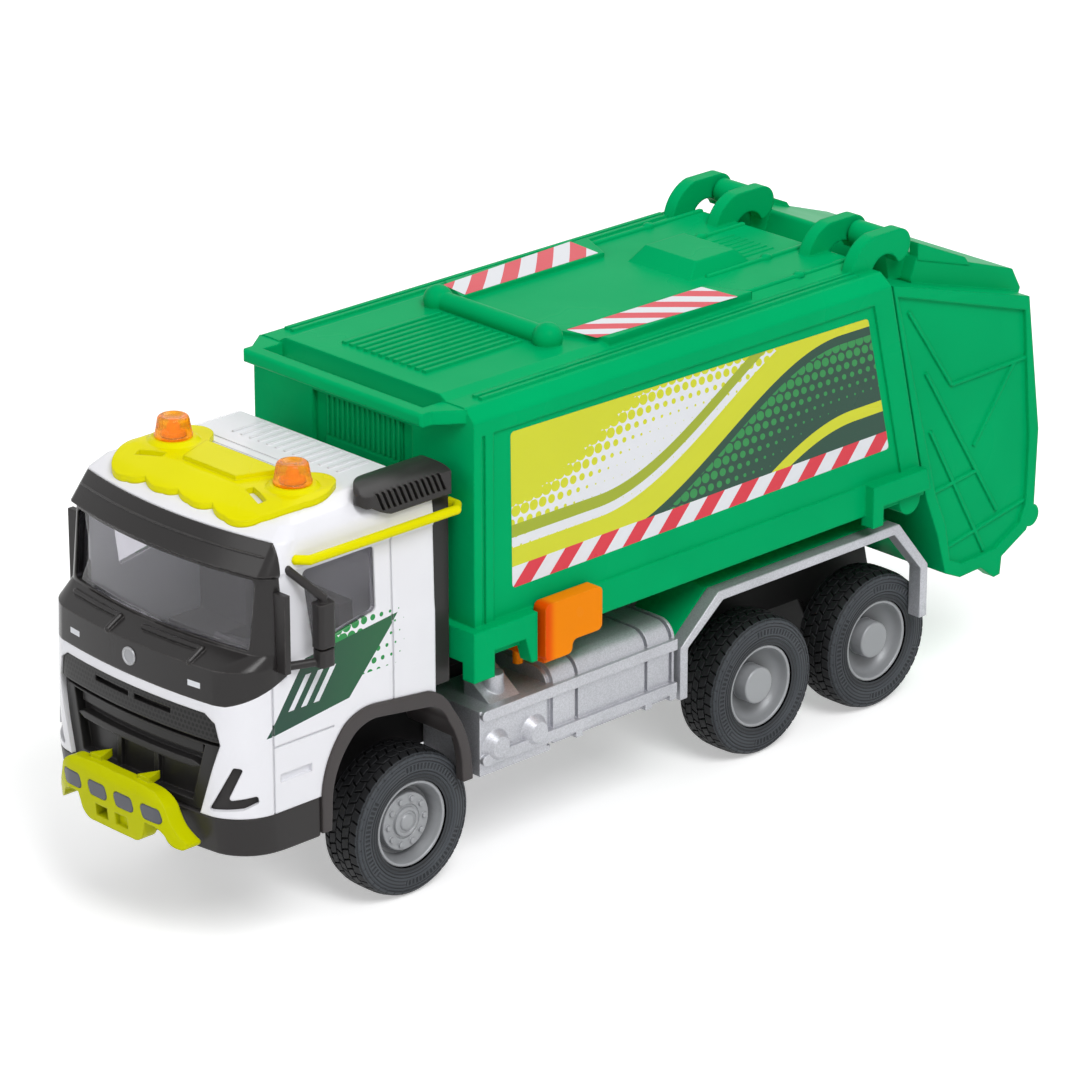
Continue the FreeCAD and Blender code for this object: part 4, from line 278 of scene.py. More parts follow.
@dataclass(frozen=True)
class Finish:
    """A plastic, paint or metal, with its grain, its drift of tone and a colour painted along its rounded edges,
    mostly a painted highlight.

    Its edge radius and grain height are in millimetres, its fineness in repeats per metre.
    """

    name: str
    colour: Colour
    roughness: float = 0.35
    roughness_spread: float = 0.08
    tone_spread: float = 0.05
    metallic: float = 0.0
    coat: float = 0.0
    specular: float = 0.16
    fineness: float = 1800.0
    grain_height: float = 0.006
    # The edge colour is painted along rounded edges: a lighter one is a painted highlight, and the lamp print's dark
    # one is its frame.
    edge_colour: Colour = (0.8, 0.8, 0.8)
    edge_amount: float = 0.35
    edge_radius: float = 0.45
    speck_amount: float = 0.0
    sparkle: float = 0.0

    # Most of a noise lies between such bounds, where each of its effects starts and is full.
    DRIFT_RANGE = (0.35, 0.65)
    ROUGH_RANGE = (0.3, 0.7)
    FLAKE_RANGE = (0.36, 0.64)
    DRIFT_SHADE = (0.4, 0.4, 0.42)
    FLAKE_GAP = (0.02, 0.02, 0.022)
    COAT_ROUGHNESS = 0.08

    def paint(self, s: Shading, place: Socket) -> object:
        """The colour before grain and the painted edge colour. Prints build on this."""
        return self.colour

    def plain_values(self) -> dict[str, float]:
        """The shader's values that are the same all over."""
        return {"Metallic": self.metallic, "Specular IOR Level": self.specular, "Coat Weight": self.coat,
                "Coat Roughness": self.COAT_ROUGHNESS}

    def material(self) -> bpy.types.Material:
        """Builds the material, or gives back the one already built.

        Returns:
            The material of this finish.
        """
        label = self.name + "_finish"
        known = bpy.data.materials.get(label)
        if known:
            return known
        made, s = empty_material(label)
        place = s.place()
        grain = s.group(EFFECTS.grain, place, self.fineness)
        # The edge colour goes where the normal turns, and is mostly a painted highlight.
        edge_highlight_and_frame = s.group(EFFECTS.edge_highlight_and_frame, place, self.edge_amount, self.edge_radius * MM)
        paint = self.paint(s, place)
        if self.sparkle:
            paint = s.blend(s.spread(grain["Height"], *self.FLAKE_RANGE, 0.0, self.sparkle), paint, self.FLAKE_GAP)
        drift = s.spread(grain["Tone"], *self.DRIFT_RANGE, 0.0, self.tone_spread * 2)
        dark = s.node("ShaderNodeMix", {"data_type": "RGBA", "blend_type": "MULTIPLY"},
                      {0: drift, 6: paint, 7: self.DRIFT_SHADE}).outputs[2]
        specked = s.blend(s.product(grain["Speck"], self.speck_amount), dark, self.edge_colour)
        half = self.roughness_spread / 2
        bump = s.node("ShaderNodeBump", None, {"Height": grain["Height"], "Strength": 1.0,
                                               "Distance": self.grain_height * MM, "Normal": edge_highlight_and_frame["Normal"]})
        shader = s.node("ShaderNodeBsdfPrincipled", None, {
            "Base Color": s.blend(edge_highlight_and_frame["Mask"], specked, self.edge_colour),
            "Roughness": s.spread(grain["Tone"], *self.ROUGH_RANGE, self.roughness - half, self.roughness + half),
            "Normal": bump.outputs[0], **self.plain_values()})
        s.node("ShaderNodeOutputMaterial", None, {0: shader.outputs[0]})
        return made


@dataclass(frozen=True)
class ClearFinish(Finish):
    """A clear or tinted moulding that light passes through nearly straight, with a thin glossy skin."""

    clearness: float = 1.0
    bending: float = 1.03

    COAT_ROUGHNESS = 0.03

    def plain_values(self) -> dict[str, float]:
        """The values of a body that lets light through."""
        return {"Metallic": 0.0, "IOR": self.bending, "Transmission Weight": self.clearness,
                "Coat Weight": self.coat, "Coat Roughness": self.COAT_ROUGHNESS}


class Ink(Enum):
    """The inks of the printed panels."""

    WHITE = linear(224, 226, 231)
    LIME = linear(206, 210, 24)
    OLIVE = linear(158, 172, 30)
    LEAF_GREEN = linear(30, 138, 66)
    DARK_GREEN = linear(14, 66, 48)
    RED = linear(216, 44, 62)


@dataclass(frozen=True)
class CabPaint(Finish):
    """The cab's enamel with the green print on each door, in millimetres."""

    door_y: float = 27.3
    # The dark field: a point on each edge's line, and how far the line runs back or up for each millimetre.
    front_x: float = 96.0
    front_z: float = 43.8
    front_slope: float = 0.70
    rear_x: float = 75.9
    rear_z: float = 46.6
    rear_slope: float = 0.92
    low_z: float = 43.6
    low_slope: float = 0.12
    top_x: float = 86.9
    top_z: float = 56.7
    top_slope: float = 0.11
    # Its ink lightens by a share on the way back.
    drift_run: Span = (89.0, 61.0)
    drift_share: float = 0.35
    slat_pitch: float = 3.0
    slat_share: float = 0.45
    slat_run: Span = (115.5, 124.5)
    slat_levels: Span = (47.5, 53.5)
    dot_pitch: float = 2.1
    dot_radius: float = 0.62
    dot_run: Span = (62.0, 80.0)
    dot_levels: Span = (49.5, 61.0)

    def paint(self, s: Shading, place: Socket) -> Socket:
        """White, with a leaning dark field on the doors that ends in a row of slats and fading dots.

        Args:
            s: the tree's shading.
            place: object coordinates.

        Returns:
            The printed colour.
        """
        x, y, z = s.group(EFFECTS.millimetres, place)
        door = s.maths("GREATER_THAN", s.maths("ABSOLUTE", y), self.door_y)
        dark = s.product(
            s.maths("LESS_THAN", s.ramp(x, self.front_slope, z, self.front_z), self.front_x),
            s.maths("GREATER_THAN", s.ramp(x, self.rear_slope, z, self.rear_z), self.rear_x),
            s.maths("GREATER_THAN", z, s.ramp(self.low_z, self.low_slope, self.front_x, x)),
            s.maths("LESS_THAN", z, s.ramp(self.top_z, self.top_slope, self.top_x, x)), door)
        # The slats lean as the front edge does.
        lean = s.maths("MULTIPLY_ADD", z, self.front_slope, x)
        wave = s.maths("FRACT", s.maths("DIVIDE", lean, self.slat_pitch))
        slats = s.product(s.between(wave, 0.0, self.slat_share), s.between(lean, *self.slat_run),
                          s.between(z, *self.slat_levels), dark)
        radius = s.spread(x, *self.dot_run, 0.0, self.dot_radius)
        dots = s.product(s.group(EFFECTS.dots, x, z, self.dot_pitch, radius)["Mask"],
                         s.between(z, *self.dot_levels), s.between(x, *self.dot_run), door)
        drift = s.spread(x, *self.drift_run, 0.0, self.drift_share)
        printed = s.blend(dots, self.colour, Ink.LEAF_GREEN.value)
        printed = s.blend(dark, printed, s.blend(drift, Ink.DARK_GREEN.value, Ink.LEAF_GREEN.value))
        return s.blend(slats, printed, Ink.WHITE.value)


@dataclass(frozen=True)
class FrontPanelPlastic(Finish):
    """The dark front moulding with its two blank white tags."""

    tag_y: Span = (15.2, 18.2)
    tag_z: Span = (52.6, 53.7)
    tag_from_x: float = 99.0

    def paint(self, s: Shading, place: Socket) -> Socket:
        """Charcoal, with one small white tag on each side of the middle."""
        x, y, z = s.group(EFFECTS.millimetres, place)
        tag = s.product(s.between(s.maths("ABSOLUTE", y), *self.tag_y), s.between(z, *self.tag_z),
                        s.maths("GREATER_THAN", x, self.tag_from_x))
        return s.blend(tag, self.colour, Ink.WHITE.value)


@dataclass(frozen=True)
class GrillePlastic(Finish):
    """The dark grille moulding with a fine mesh over its upper strip, whose holes are painted shade."""

    mesh_low_z: float = 43.3
    mesh_pitch: float = 0.95
    hole_radius: float = 0.36
    # The holes are near-black dots of painted shade, not openings.
    painted_hole_shade: Colour = (0.004, 0.004, 0.004)

    def paint(self, s: Shading, place: Socket) -> Socket:
        """Charcoal, with rows of near-black dots of painted shade for holes across the strip."""
        _, y, z = s.group(EFFECTS.millimetres, place)
        holes = s.group(EFFECTS.dots, y, z, self.mesh_pitch, self.hole_radius)["Mask"]
        return s.blend(s.product(holes, s.maths("GREATER_THAN", z, self.mesh_low_z)), self.colour, self.painted_hole_shade)


@dataclass(frozen=True)
class LeverPlastic(Finish):
    """Orange plastic whose front end is painted redder, as painted shade on the face that gets less light."""

    # The painted shade's red-orange, and where along x it deepens.
    painted_shade_colour: Colour = (0.8, 0.08, 0.0)
    painted_shade_run: Span = (29.6, 32.2)

    def paint(self, s: Shading, place: Socket) -> Socket:
        """Orange that deepens to red-orange over the last millimetres at the front, as painted shade."""
        x = s.group(EFFECTS.millimetres, place)["X"]
        return s.blend(s.spread(x, *self.painted_shade_run, 0.0, 1.0, smooth=True), self.colour, self.painted_shade_colour)


@dataclass(frozen=True)
class WheelPlastic(Finish):
    """Grey wheel plastic with painted shade deep in the barrel, darkest just outside the raised middle."""

    axle_x: float = 0.0
    axle_z: float = AXLE_Z
    # Painted shade starts just outside this radius and fades out by the open one. At its start it goes this share of
    # the way to its colour.
    painted_shade_radius: float = 5.75
    open_radius: float = 7.9
    painted_shade_share: float = 0.85
    painted_shade_colour: Colour = (0.03, 0.032, 0.034)

    def paint(self, s: Shading, place: Socket) -> Socket:
        """Painted shade: darkest just outside the raised middle, and plain again at the lip."""
        radius = s.group(EFFECTS.about_axle, place, self.axle_x, self.axle_z)["Radius"]
        fading = s.spread(radius, self.painted_shade_radius, self.open_radius, self.painted_shade_share, 0.0)
        deep = s.product(s.maths("GREATER_THAN", radius, self.painted_shade_radius), fading)
        return s.blend(deep, self.colour, self.painted_shade_colour)


@dataclass(frozen=True)
class TyreRubber(Finish):
    """Rubber whose side walls are slate with rings and arcs of pads, and whose tread is near black."""

    wall_colour: Colour = (0.06, 0.065, 0.07)
    middle_y: float = 21.0
    # Distances from the tyre's middle plane where the tread's colour ends and the wall's is full.
    tread_edge: Span = (3.9, 4.35)
    axle_x: float = 0.0
    axle_z: float = AXLE_Z
    bead_radii: Span = (8.6, 10.4)
    bead_share: float = 0.45
    # The wall's dark rings are painted shade: a sine of the radius at this rate, the edge of that wave, and the share
    # of the wall's colour left in them.
    ring_rate: float = 9.5
    ring_edge: Span = (-1.0, 0.1)
    ring_share: float = 0.15
    band_radii: Span = (10.95, 12.05)
    pad_count: float = 80.0
    pad_phase: float = 1.2566
    pad_edge: Span = (0.2, 0.42)
    # The share of the wall's colour kept between the pads, which is painted shade, and on them.
    pad_shares: Span = (0.4, 1.2)
    arc_count: float = 3.0
    arc_level: float = -0.5

    def paint(self, s: Shading, place: Socket) -> Socket:
        """The tread's colour in the middle of the width; outside it the wall's, with painted shade in its rings and
        between its pads.

        The pads are a cosine of the turn, the arcs a slower cosine, and two radii bound their band. The rings are
        a sine of the radius, and give way to the pads inside the band.

        Args:
            s: the tree's shading.
            place: object coordinates.

        Returns:
            The rubber's colour.
        """
        radius, turn = s.group(EFFECTS.about_axle, place, self.axle_x, self.axle_z)
        wave = s.maths("COSINE", s.maths("MULTIPLY_ADD", turn, self.pad_count, self.pad_phase))
        arcs = s.maths("GREATER_THAN", s.maths("COSINE", s.product(turn, self.arc_count)), self.arc_level)
        band = s.product(s.between(radius, *self.band_radii), arcs)
        pad = s.product(s.spread(wave, *self.pad_edge, 0.0, 1.0), band)
        y = s.group(EFFECTS.millimetres, place)["Y"]
        away = s.maths("ABSOLUTE", s.maths("SUBTRACT", s.maths("ABSOLUTE", y), self.middle_y))
        share = s.spread(away, *self.tread_edge, 0.0, 1.0, smooth=True)
        bead = s.spread(radius, *self.bead_radii, self.bead_share, 1.0, smooth=True)
        rings = s.spread(s.maths("SINE", s.product(radius, self.ring_rate)), *self.ring_edge, self.ring_share, 1.0)
        outside = s.product(share, bead, rings, s.maths("SUBTRACT", 1.0, band))
        inside = s.product(share, s.spread(pad, 0.0, 1.0, *self.pad_shares), band)
        return s.blend(s.maths("ADD", outside, inside), self.colour, self.wall_colour)


@dataclass(frozen=True)
class PrintedSheet(Finish):
    """A glossy sheet printed with slanted stripes, on the sheet's own map in millimetres over its size."""

    length: float = 10.0
    height: float = 4.0
    pitch: float = 9.3
    lean: float = -1.0

    def span(self, s: Shading) -> tuple[Socket, Socket]:
        """The way along and up the sheet, in millimetres, from its own map."""
        parts = s.apart(s.node("ShaderNodeUVMap", {"uv_map": "sheet"}).outputs[0])
        return s.product(parts[0], self.length), s.product(parts[1], self.height)

    def stripes(self, s: Shading, along: Socket, up: Socket) -> Socket:
        """Red and white slanted stripes."""
        mask = s.group(EFFECTS.hazard, along, up, self.pitch, self.lean)["Mask"]
        return s.blend(mask, Ink.WHITE.value, Ink.RED.value)

    def paint(self, s: Shading, place: Socket) -> Socket:
        """The stripes over the whole sheet."""
        return self.stripes(s, *self.span(s))


@dataclass(frozen=True)
class WavePrint(PrintedSheet):
    """The side panel's print: sweeping bands and fading dots over a strip of stripes."""

    strip_height: float = 4.2
    # Each curve rises smoothly: the way along where it starts and ends, and its height at both.
    rear_curve: tuple[float, ...] = (22.0, 92.0, 2.0, 29.0)
    front_curve: tuple[float, ...] = (0.0, 46.0, 17.0, 33.0)
    dot_pitch: float = 2.3
    # Each fade lies under its curve: the heights from it where the dots start and end, and their radius at both.
    rear_fade: tuple[float, ...] = (-16.0, -2.0, 0.05, 0.5)
    front_fade: tuple[float, ...] = (-10.0, 0.0, 0.05, 0.62)
    # Each band follows the rear curve, between two heights from it.
    olive_band: Span = (8.0, 10.5)
    lime_band: Span = (0.0, 6.0)
    low_band: Span = (-20.0, -17.4)

    def paint(self, s: Shading, place: Socket) -> Socket:
        """White with a dark field under a rising curve, lime and olive bands along it, and dots at the front.

        Args:
            s: the tree's shading.
            place: not needed, since the print lies on the sheet's own map.

        Returns:
            The printed colour.
        """
        along, up = self.span(s)
        rear, front = (s.maths("SUBTRACT", up, s.spread(along, *curve, smooth=True))
                       for curve in (self.rear_curve, self.front_curve))
        rear_dots, front_dots = (s.group(EFFECTS.dots, along, up, self.dot_pitch, s.spread(level, *fade))["Mask"]
                                 for level, fade in ((rear, self.rear_fade), (front, self.front_fade)))
        colour = Ink.WHITE.value
        for mask, ink in ((front_dots, Ink.LIME),
                          (s.maths("GREATER_THAN", front, 0.0), Ink.LIME),
                          (s.between(rear, *self.olive_band), Ink.OLIVE),
                          (s.between(rear, *self.lime_band), Ink.LIME),
                          (s.maths("LESS_THAN", rear, 0.0), Ink.DARK_GREEN),
                          (s.product(rear_dots, s.between(rear, *self.rear_fade[:2])), Ink.LEAF_GREEN),
                          (s.between(rear, *self.low_band), Ink.LIME)):
            colour = s.blend(mask, colour, ink.value)
        return s.blend(s.maths("LESS_THAN", up, self.strip_height), colour, self.stripes(s, along, up))


# Each finish has its name, colour, roughness, the spread of that and of its tone, and then what sets it apart.
# A lighter edge colour is a painted highlight along the rounded edges. The lamp print's dark edge colour is its
# frame.
GREEN = Finish("body_green", linear(0, 168, 100), 0.3, 0.08, 0.05, specular=0.016,
               edge_colour=linear(4, 196, 112), edge_amount=0.4, edge_radius=0.6)
WHITE = CabPaint("cab_enamel", linear(233, 233, 238), 0.24, 0.06, 0.02, coat=0.3, edge_colour=linear(248, 248, 250),
                 edge_amount=0.25)
CHARCOAL = Finish("charcoal_plastic", linear(48, 46, 46), 0.34, 0.1, 0.08, specular=0.2,
                  edge_colour=linear(112, 108, 106), edge_amount=0.35)
ARCH = Finish("arch_plastic", linear(68, 64, 64), 0.4, 0.1, 0.08, specular=0.2,
              edge_colour=linear(118, 113, 112), edge_amount=0.3)
FRONT_PANEL = FrontPanelPlastic("front_panel_plastic", linear(38, 36, 36), 0.2, 0.08, 0.08, specular=0.28,
                                edge_colour=linear(128, 124, 122), edge_amount=0.35)
GRILLE = GrillePlastic("grille_plastic", linear(40, 39, 39), 0.32, 0.08, 0.08, specular=0.22,
                       edge_colour=linear(104, 101, 100), edge_amount=0.35)
CHASSIS = Finish("chassis_plastic", linear(32, 31, 32), 0.5, 0.1, 0.1, edge_colour=linear(70, 68, 68))
SILVER = Finish("silver_spray", linear(196, 197, 203), 0.44, 0.1, 0.1, metallic=0.58, specular=0.4, fineness=3400.0,
                grain_height=0.035, edge_colour=linear(232, 233, 237), edge_amount=0.6, edge_radius=0.4,
                speck_amount=0.12, sparkle=0.22)
WHEEL = WheelPlastic("wheel_plastic", linear(158, 160, 163), 0.42, 0.08, 0.08, metallic=0.25, specular=0.35,
                     fineness=2300.0, grain_height=0.02, edge_colour=linear(206, 207, 210), edge_amount=0.6,
                     edge_radius=0.15)
RUBBER = TyreRubber("tyre_rubber", linear(24, 25, 27), 0.62, 0.12, 0.2, specular=0.3, fineness=1500.0,
                    grain_height=0.02, edge_colour=linear(92, 94, 97), edge_amount=0.45, edge_radius=0.2,
                    wall_colour=linear(68, 72, 77))
STEEL = Finish("axle_steel", linear(190, 191, 194), 0.3, 0.1, 0.05, metallic=1.0, edge_colour=linear(220, 220, 220))
LIME = Finish("lime_plastic", linear(226, 220, 0), 0.26, 0.08, 0.03, specular=0.05, edge_colour=linear(242, 240, 70),
              edge_amount=0.3)
GUARD_LIME = Finish("guard_lime_plastic", linear(196, 200, 0), 0.26, 0.08, 0.05, specular=0.05,
                    edge_colour=linear(228, 230, 70), edge_amount=0.35)
LAMP = Finish("lamp_print", linear(82, 84, 92), 0.22, 0.08, 0.1, specular=0.4, edge_colour=linear(28, 28, 30),
              edge_amount=1.0, edge_radius=0.55)
ORANGE = LeverPlastic("lever_plastic", linear(246, 138, 2), 0.26, 0.08, 0.05, specular=0.05,
                      edge_colour=linear(255, 178, 60))
INTERIOR = Finish("interior_plastic", linear(88, 84, 90), 0.55, 0.1, 0.1, grain_height=0.002,
                  edge_colour=linear(130, 128, 134))
CLEAR = ClearFinish("clear_screen", linear(238, 238, 242), 0.03, 0.02, 0.0, coat=0.8, grain_height=0.0,
                    edge_colour=linear(250, 250, 250), edge_amount=0.0)
SMOKED = ClearFinish("smoked_window", linear(196, 194, 200), 0.04, 0.02, 0.0, coat=0.8, grain_height=0.0,
                     edge_colour=linear(210, 210, 212), edge_amount=0.0)
AMBER = ClearFinish("amber_lens", linear(255, 176, 6), 0.07, 0.04, 0.0, coat=0.5, grain_height=0.0,
                    edge_colour=linear(255, 190, 80), edge_amount=0.3, clearness=0.75, bending=1.15)
AMBER_CORE = Finish("amber_core", linear(236, 146, 0), 0.3, 0.1, 0.1, specular=0.5, edge_colour=linear(255, 190, 80),
                    edge_amount=0.6)
BADGE = Finish("badge_silver", linear(150, 151, 154), 0.35, 0.1, 0.05, metallic=0.7, specular=0.4,
               edge_colour=linear(220, 221, 224), edge_amount=0.8)
SIDE_PRINT = WavePrint("side_print", Ink.WHITE.value, 0.3, 0.06, 0.02, coat=0.3, edge_amount=0.0,
                       length=100.0, height=30.8)
ROOF_PRINT = PrintedSheet("roof_print", Ink.WHITE.value, 0.3, 0.06, 0.02, coat=0.3, edge_amount=0.0,
                          length=36.0, height=8.0)

# The finish of each of the record's slots, and of the nodes that differ from their slot.
SLOT_FINISHES = {
    "body_green": GREEN, "cab_white": WHITE, "trim_black": CHARCOAL, "chassis_black": CHASSIS,
    "silver_paint": SILVER, "wheel_grey": WHEEL, "tyre_rubber": RUBBER, "axle_steel": STEEL,
    "lime_plastic": LIME, "lamp_grey": LAMP, "lever_orange": ORANGE, "interior_grey": INTERIOR,
    "clear_glass": CLEAR, "tinted_glass": SMOKED, "beacon_orange": AMBER,
}
NODE_FINISHES = {
    "bull_bar": GUARD_LIME, "windscreen_surround": FRONT_PANEL, "grille": GRILLE,
    "wheel_arch_left": ARCH, "wheel_arch_right": ARCH,
}

# The CAD nodes that a piece stands in for already.
DRESSED: set[str] = set()


def body_of_node(node: str) -> str:
    """The body that a CAD node rides on."""
    bodies = frame["record"]["behaviour"]["bodies"]
    return next(body for body, members in bodies.items() if node in members)


def slot_of_node(node: str) -> str:
    """The material slot of a CAD node in the record."""
    return next(row["material_slot"] for row in frame["record"]["subparts"] if row["node"] == node)


def new_piece(name: str, mesh: bpy.types.Mesh, body: str, finish: Finish,
              node: str = "") -> bpy.types.Object:
    """Puts a mesh into the scene as a piece that rides on a body.

    Args:
        name: the piece's name.
        mesh: its finished mesh, in metres.
        body: the body that it rides on.
        finish: what it is made of.
        node: the CAD node that it stands in for, if it does.

    Returns:
        The piece.
    """
    piece = bpy.data.objects.new(name, mesh)
    bpy.context.scene.collection.objects.link(piece)
    mesh.materials.clear()
    mesh.materials.append(finish.material())
    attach(piece, body)
    if node:
        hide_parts(node)
        DRESSED.add(node)
    LOG.info("%s: %d faces on %s", name, len(mesh.polygons), body)
    return piece


@dataclass(frozen=True)
class Softener:
    """Merges a copy of a solid's mesh and rounds its sharp edges, or leaves them sharp where the width is zero."""

    width: float
    segments: int = 2
    angle: float = 32.0
    merge: float = 0.001

    def mesh(self, node: str) -> bpy.types.Mesh:
        """The node's own form with rounded edges.

        The copy is worked on in millimetres, because the rounding's own limits are set for larger things.

        Args:
            node: the CAD node.

        Returns:
            A new mesh in metres.
        """
        made = frame["nodes"][node].data.copy()
        made.transform(Matrix.Scale(1.0 / MM, 4))
        work = bmesh.new()
        work.from_mesh(made)
        bmesh.ops.remove_doubles(work, verts=work.verts, dist=self.merge)
        bmesh.ops.dissolve_degenerate(work, edges=work.edges, dist=self.merge)
        work.to_mesh(made)
        work.free()
        made.shade_smooth()
        if self.width:
            made = self.rounded(made)
        else:
            made.set_sharp_from_angle(angle=math.radians(self.angle))
        made.transform(Matrix.Scale(MM, 4))
        made.name = node + "_dressed"
        return made

    def rounded(self, source: bpy.types.Mesh) -> bpy.types.Mesh:
        """Works the rounding into a new mesh, which takes the place of the source.

        Args:
            source: the merged mesh, in millimetres.

        Returns:
            The rounded mesh, in millimetres.
        """
        helper = bpy.data.objects.new("rounding_work", source)
        bpy.context.scene.collection.objects.link(helper)
        rounding = helper.modifiers.new("rounding", "BEVEL")
        rounding.width = self.width
        rounding.segments = self.segments
        rounding.limit_method = "ANGLE"
        rounding.angle_limit = math.radians(self.angle)
        rounding.miter_outer = "MITER_ARC"
        rounding.harden_normals = True
        helper.modifiers.new("levelling", "WEIGHTED_NORMAL").keep_sharp = True
        bpy.context.view_layer.update()
        made = bpy.data.meshes.new_from_object(helper.evaluated_get(bpy.context.evaluated_depsgraph_get()))
        bpy.data.objects.remove(helper)
        bpy.data.meshes.remove(source)
        return made


def dress(node: str, softener: Softener) -> None:
    """Stands a softened, finished copy in for one CAD node.

    Args:
        node: the CAD node.
        softener: how its edges are rounded.
    """
    slot = slot_of_node(node)
    finish = NODE_FINISHES.get(node, SLOT_FINISHES[slot])
    new_piece(node + "_dressed", softener.mesh(node), body_of_node(node), finish, node)


def grid_mesh(name: str, grids: Sequence[np.ndarray], wrap: bool = False) -> bpy.types.Mesh:
    """Turns grids of points into one mesh of quads: each cell joins four neighbours.

    Args:
        name: the mesh's name.
        grids: each rows by columns by three, in millimetres.
        wrap: whether the last row joins the first.

    Returns:
        A mesh in metres with smooth faces.
    """
    quads, points, count = [], [], 0
    for grid in grids:
        rows, columns = grid.shape[:2]
        index = count + np.arange(rows * columns).reshape(rows, columns)
        lower = index if wrap else index[:-1]
        upper = np.roll(index, -1, axis=0) if wrap else index[1:]
        quads.append(np.stack((lower[:, :-1], lower[:, 1:], upper[:, 1:], upper[:, :-1]), axis=-1).reshape(-1, 4))
        points.append(grid.reshape(-1, 3) * MM)
        count += rows * columns
    mesh = bpy.data.meshes.new(name)
    mesh.from_pydata(np.concatenate(points).tolist(), [], np.concatenate(quads).tolist())
    mesh.shade_smooth()
    return mesh


def turned_grid(profile: np.ndarray, centre: Sequence[float], axis: Sequence[float], segments: int,
                flutes: int = 0, flute_depth: np.ndarray | float = 0.0) -> np.ndarray:
    """Turns a profile about an axis, with a cosine wave around it where flutes are asked for.

    Args:
        profile: rows of radius and height along the axis, in millimetres.
        centre: where height is zero on the axis.
        axis: the axis' direction.
        segments: steps around the axis.
        flutes: waves around the axis.
        flute_depth: how far the wave draws the radius in, for each profile row.

    Returns:
        Points in millimetres: steps around, by rows, by three.
    """
    along = np.array(axis, dtype=float) / np.linalg.norm(axis)
    aside = np.cross(along, (0.0, 1.0, 0.0) if abs(along[1]) < 0.9 else (1.0, 0.0, 0.0))
    aside /= np.linalg.norm(aside)
    third = np.cross(along, aside)
    turn = np.linspace(0.0, 2 * np.pi, segments, endpoint=False)[:, None]
    radius = profile[None, :, 0] - np.asarray(flute_depth) * (0.5 + 0.5 * np.cos(turn * flutes))
    height = np.broadcast_to(profile[None, :, 1], radius.shape)
    return (np.array(centre) + (radius * np.cos(turn))[..., None] * aside
            + (radius * np.sin(turn))[..., None] * third + height[..., None] * along)


def closed_mesh(name: str, grids: Sequence[np.ndarray], wrap: bool = False, sharp: float = 0.0) -> bpy.types.Mesh:
    """Makes a closed mesh of grids: joins points that lie on each other and turns every face outwards.

    Args:
        name: the mesh's name.
        grids: each rows by columns by three, in millimetres.
        wrap: whether the last row joins the first.
        sharp: the angle in degrees from which an edge is sharp, or 0 where none is.

    Returns:
        A mesh in metres.
    """
    mesh = grid_mesh(name, grids, wrap)
    work = bmesh.new()
    work.from_mesh(mesh)
    bmesh.ops.remove_doubles(work, verts=work.verts, dist=JOIN_DISTANCE * MM)
    bmesh.ops.recalc_face_normals(work, faces=work.faces)
    work.to_mesh(mesh)
    work.free()
    if sharp:
        mesh.set_sharp_from_angle(angle=math.radians(sharp))
    return mesh


def turned_mesh(name: str, grids: Sequence[np.ndarray]) -> bpy.types.Mesh:
    """Makes one closed mesh of turned grids, each joined up all the way round."""
    return closed_mesh(name, grids, wrap=True, sharp=40.0)


def quarter(centre_radius: float, centre_height: float, size: float, start: float, end: float,
            steps: int = 7) -> np.ndarray:
    """Points of a rounded corner: an arc of the given size between two angles in degrees."""
    angle = np.radians(np.linspace(start, end, steps))
    return np.stack((centre_radius + size * np.cos(angle), centre_height + size * np.sin(angle)), axis=1)


def surface_points(node: str, origins: np.ndarray, direction: Sequence[float]) -> tuple[np.ndarray, np.ndarray]:
    """Where straight lines first meet a CAD node.

    Args:
        node: the CAD node.
        origins: where each line starts, in millimetres.
        direction: which way they all run.

    Returns:
        The points in millimetres and the surface's outward direction at each.
    """
    mesh = frame["nodes"][node].data
    places = np.empty(len(mesh.vertices) * 3, dtype=np.float32)
    mesh.vertices.foreach_get("co", places)
    corners = np.empty(len(mesh.loops), dtype=np.int32)
    mesh.loops.foreach_get("vertex_index", corners)
    tree = BVHTree.FromPolygons(places.reshape(-1, 3).tolist(), corners.reshape(-1, 3).tolist())
    way = Vector(direction).normalized()
    hits = [tree.ray_cast(Vector(origin) * MM, way) for origin in origins]
    return np.array([hit[0] for hit in hits]) / MM, np.array([hit[1] for hit in hits])


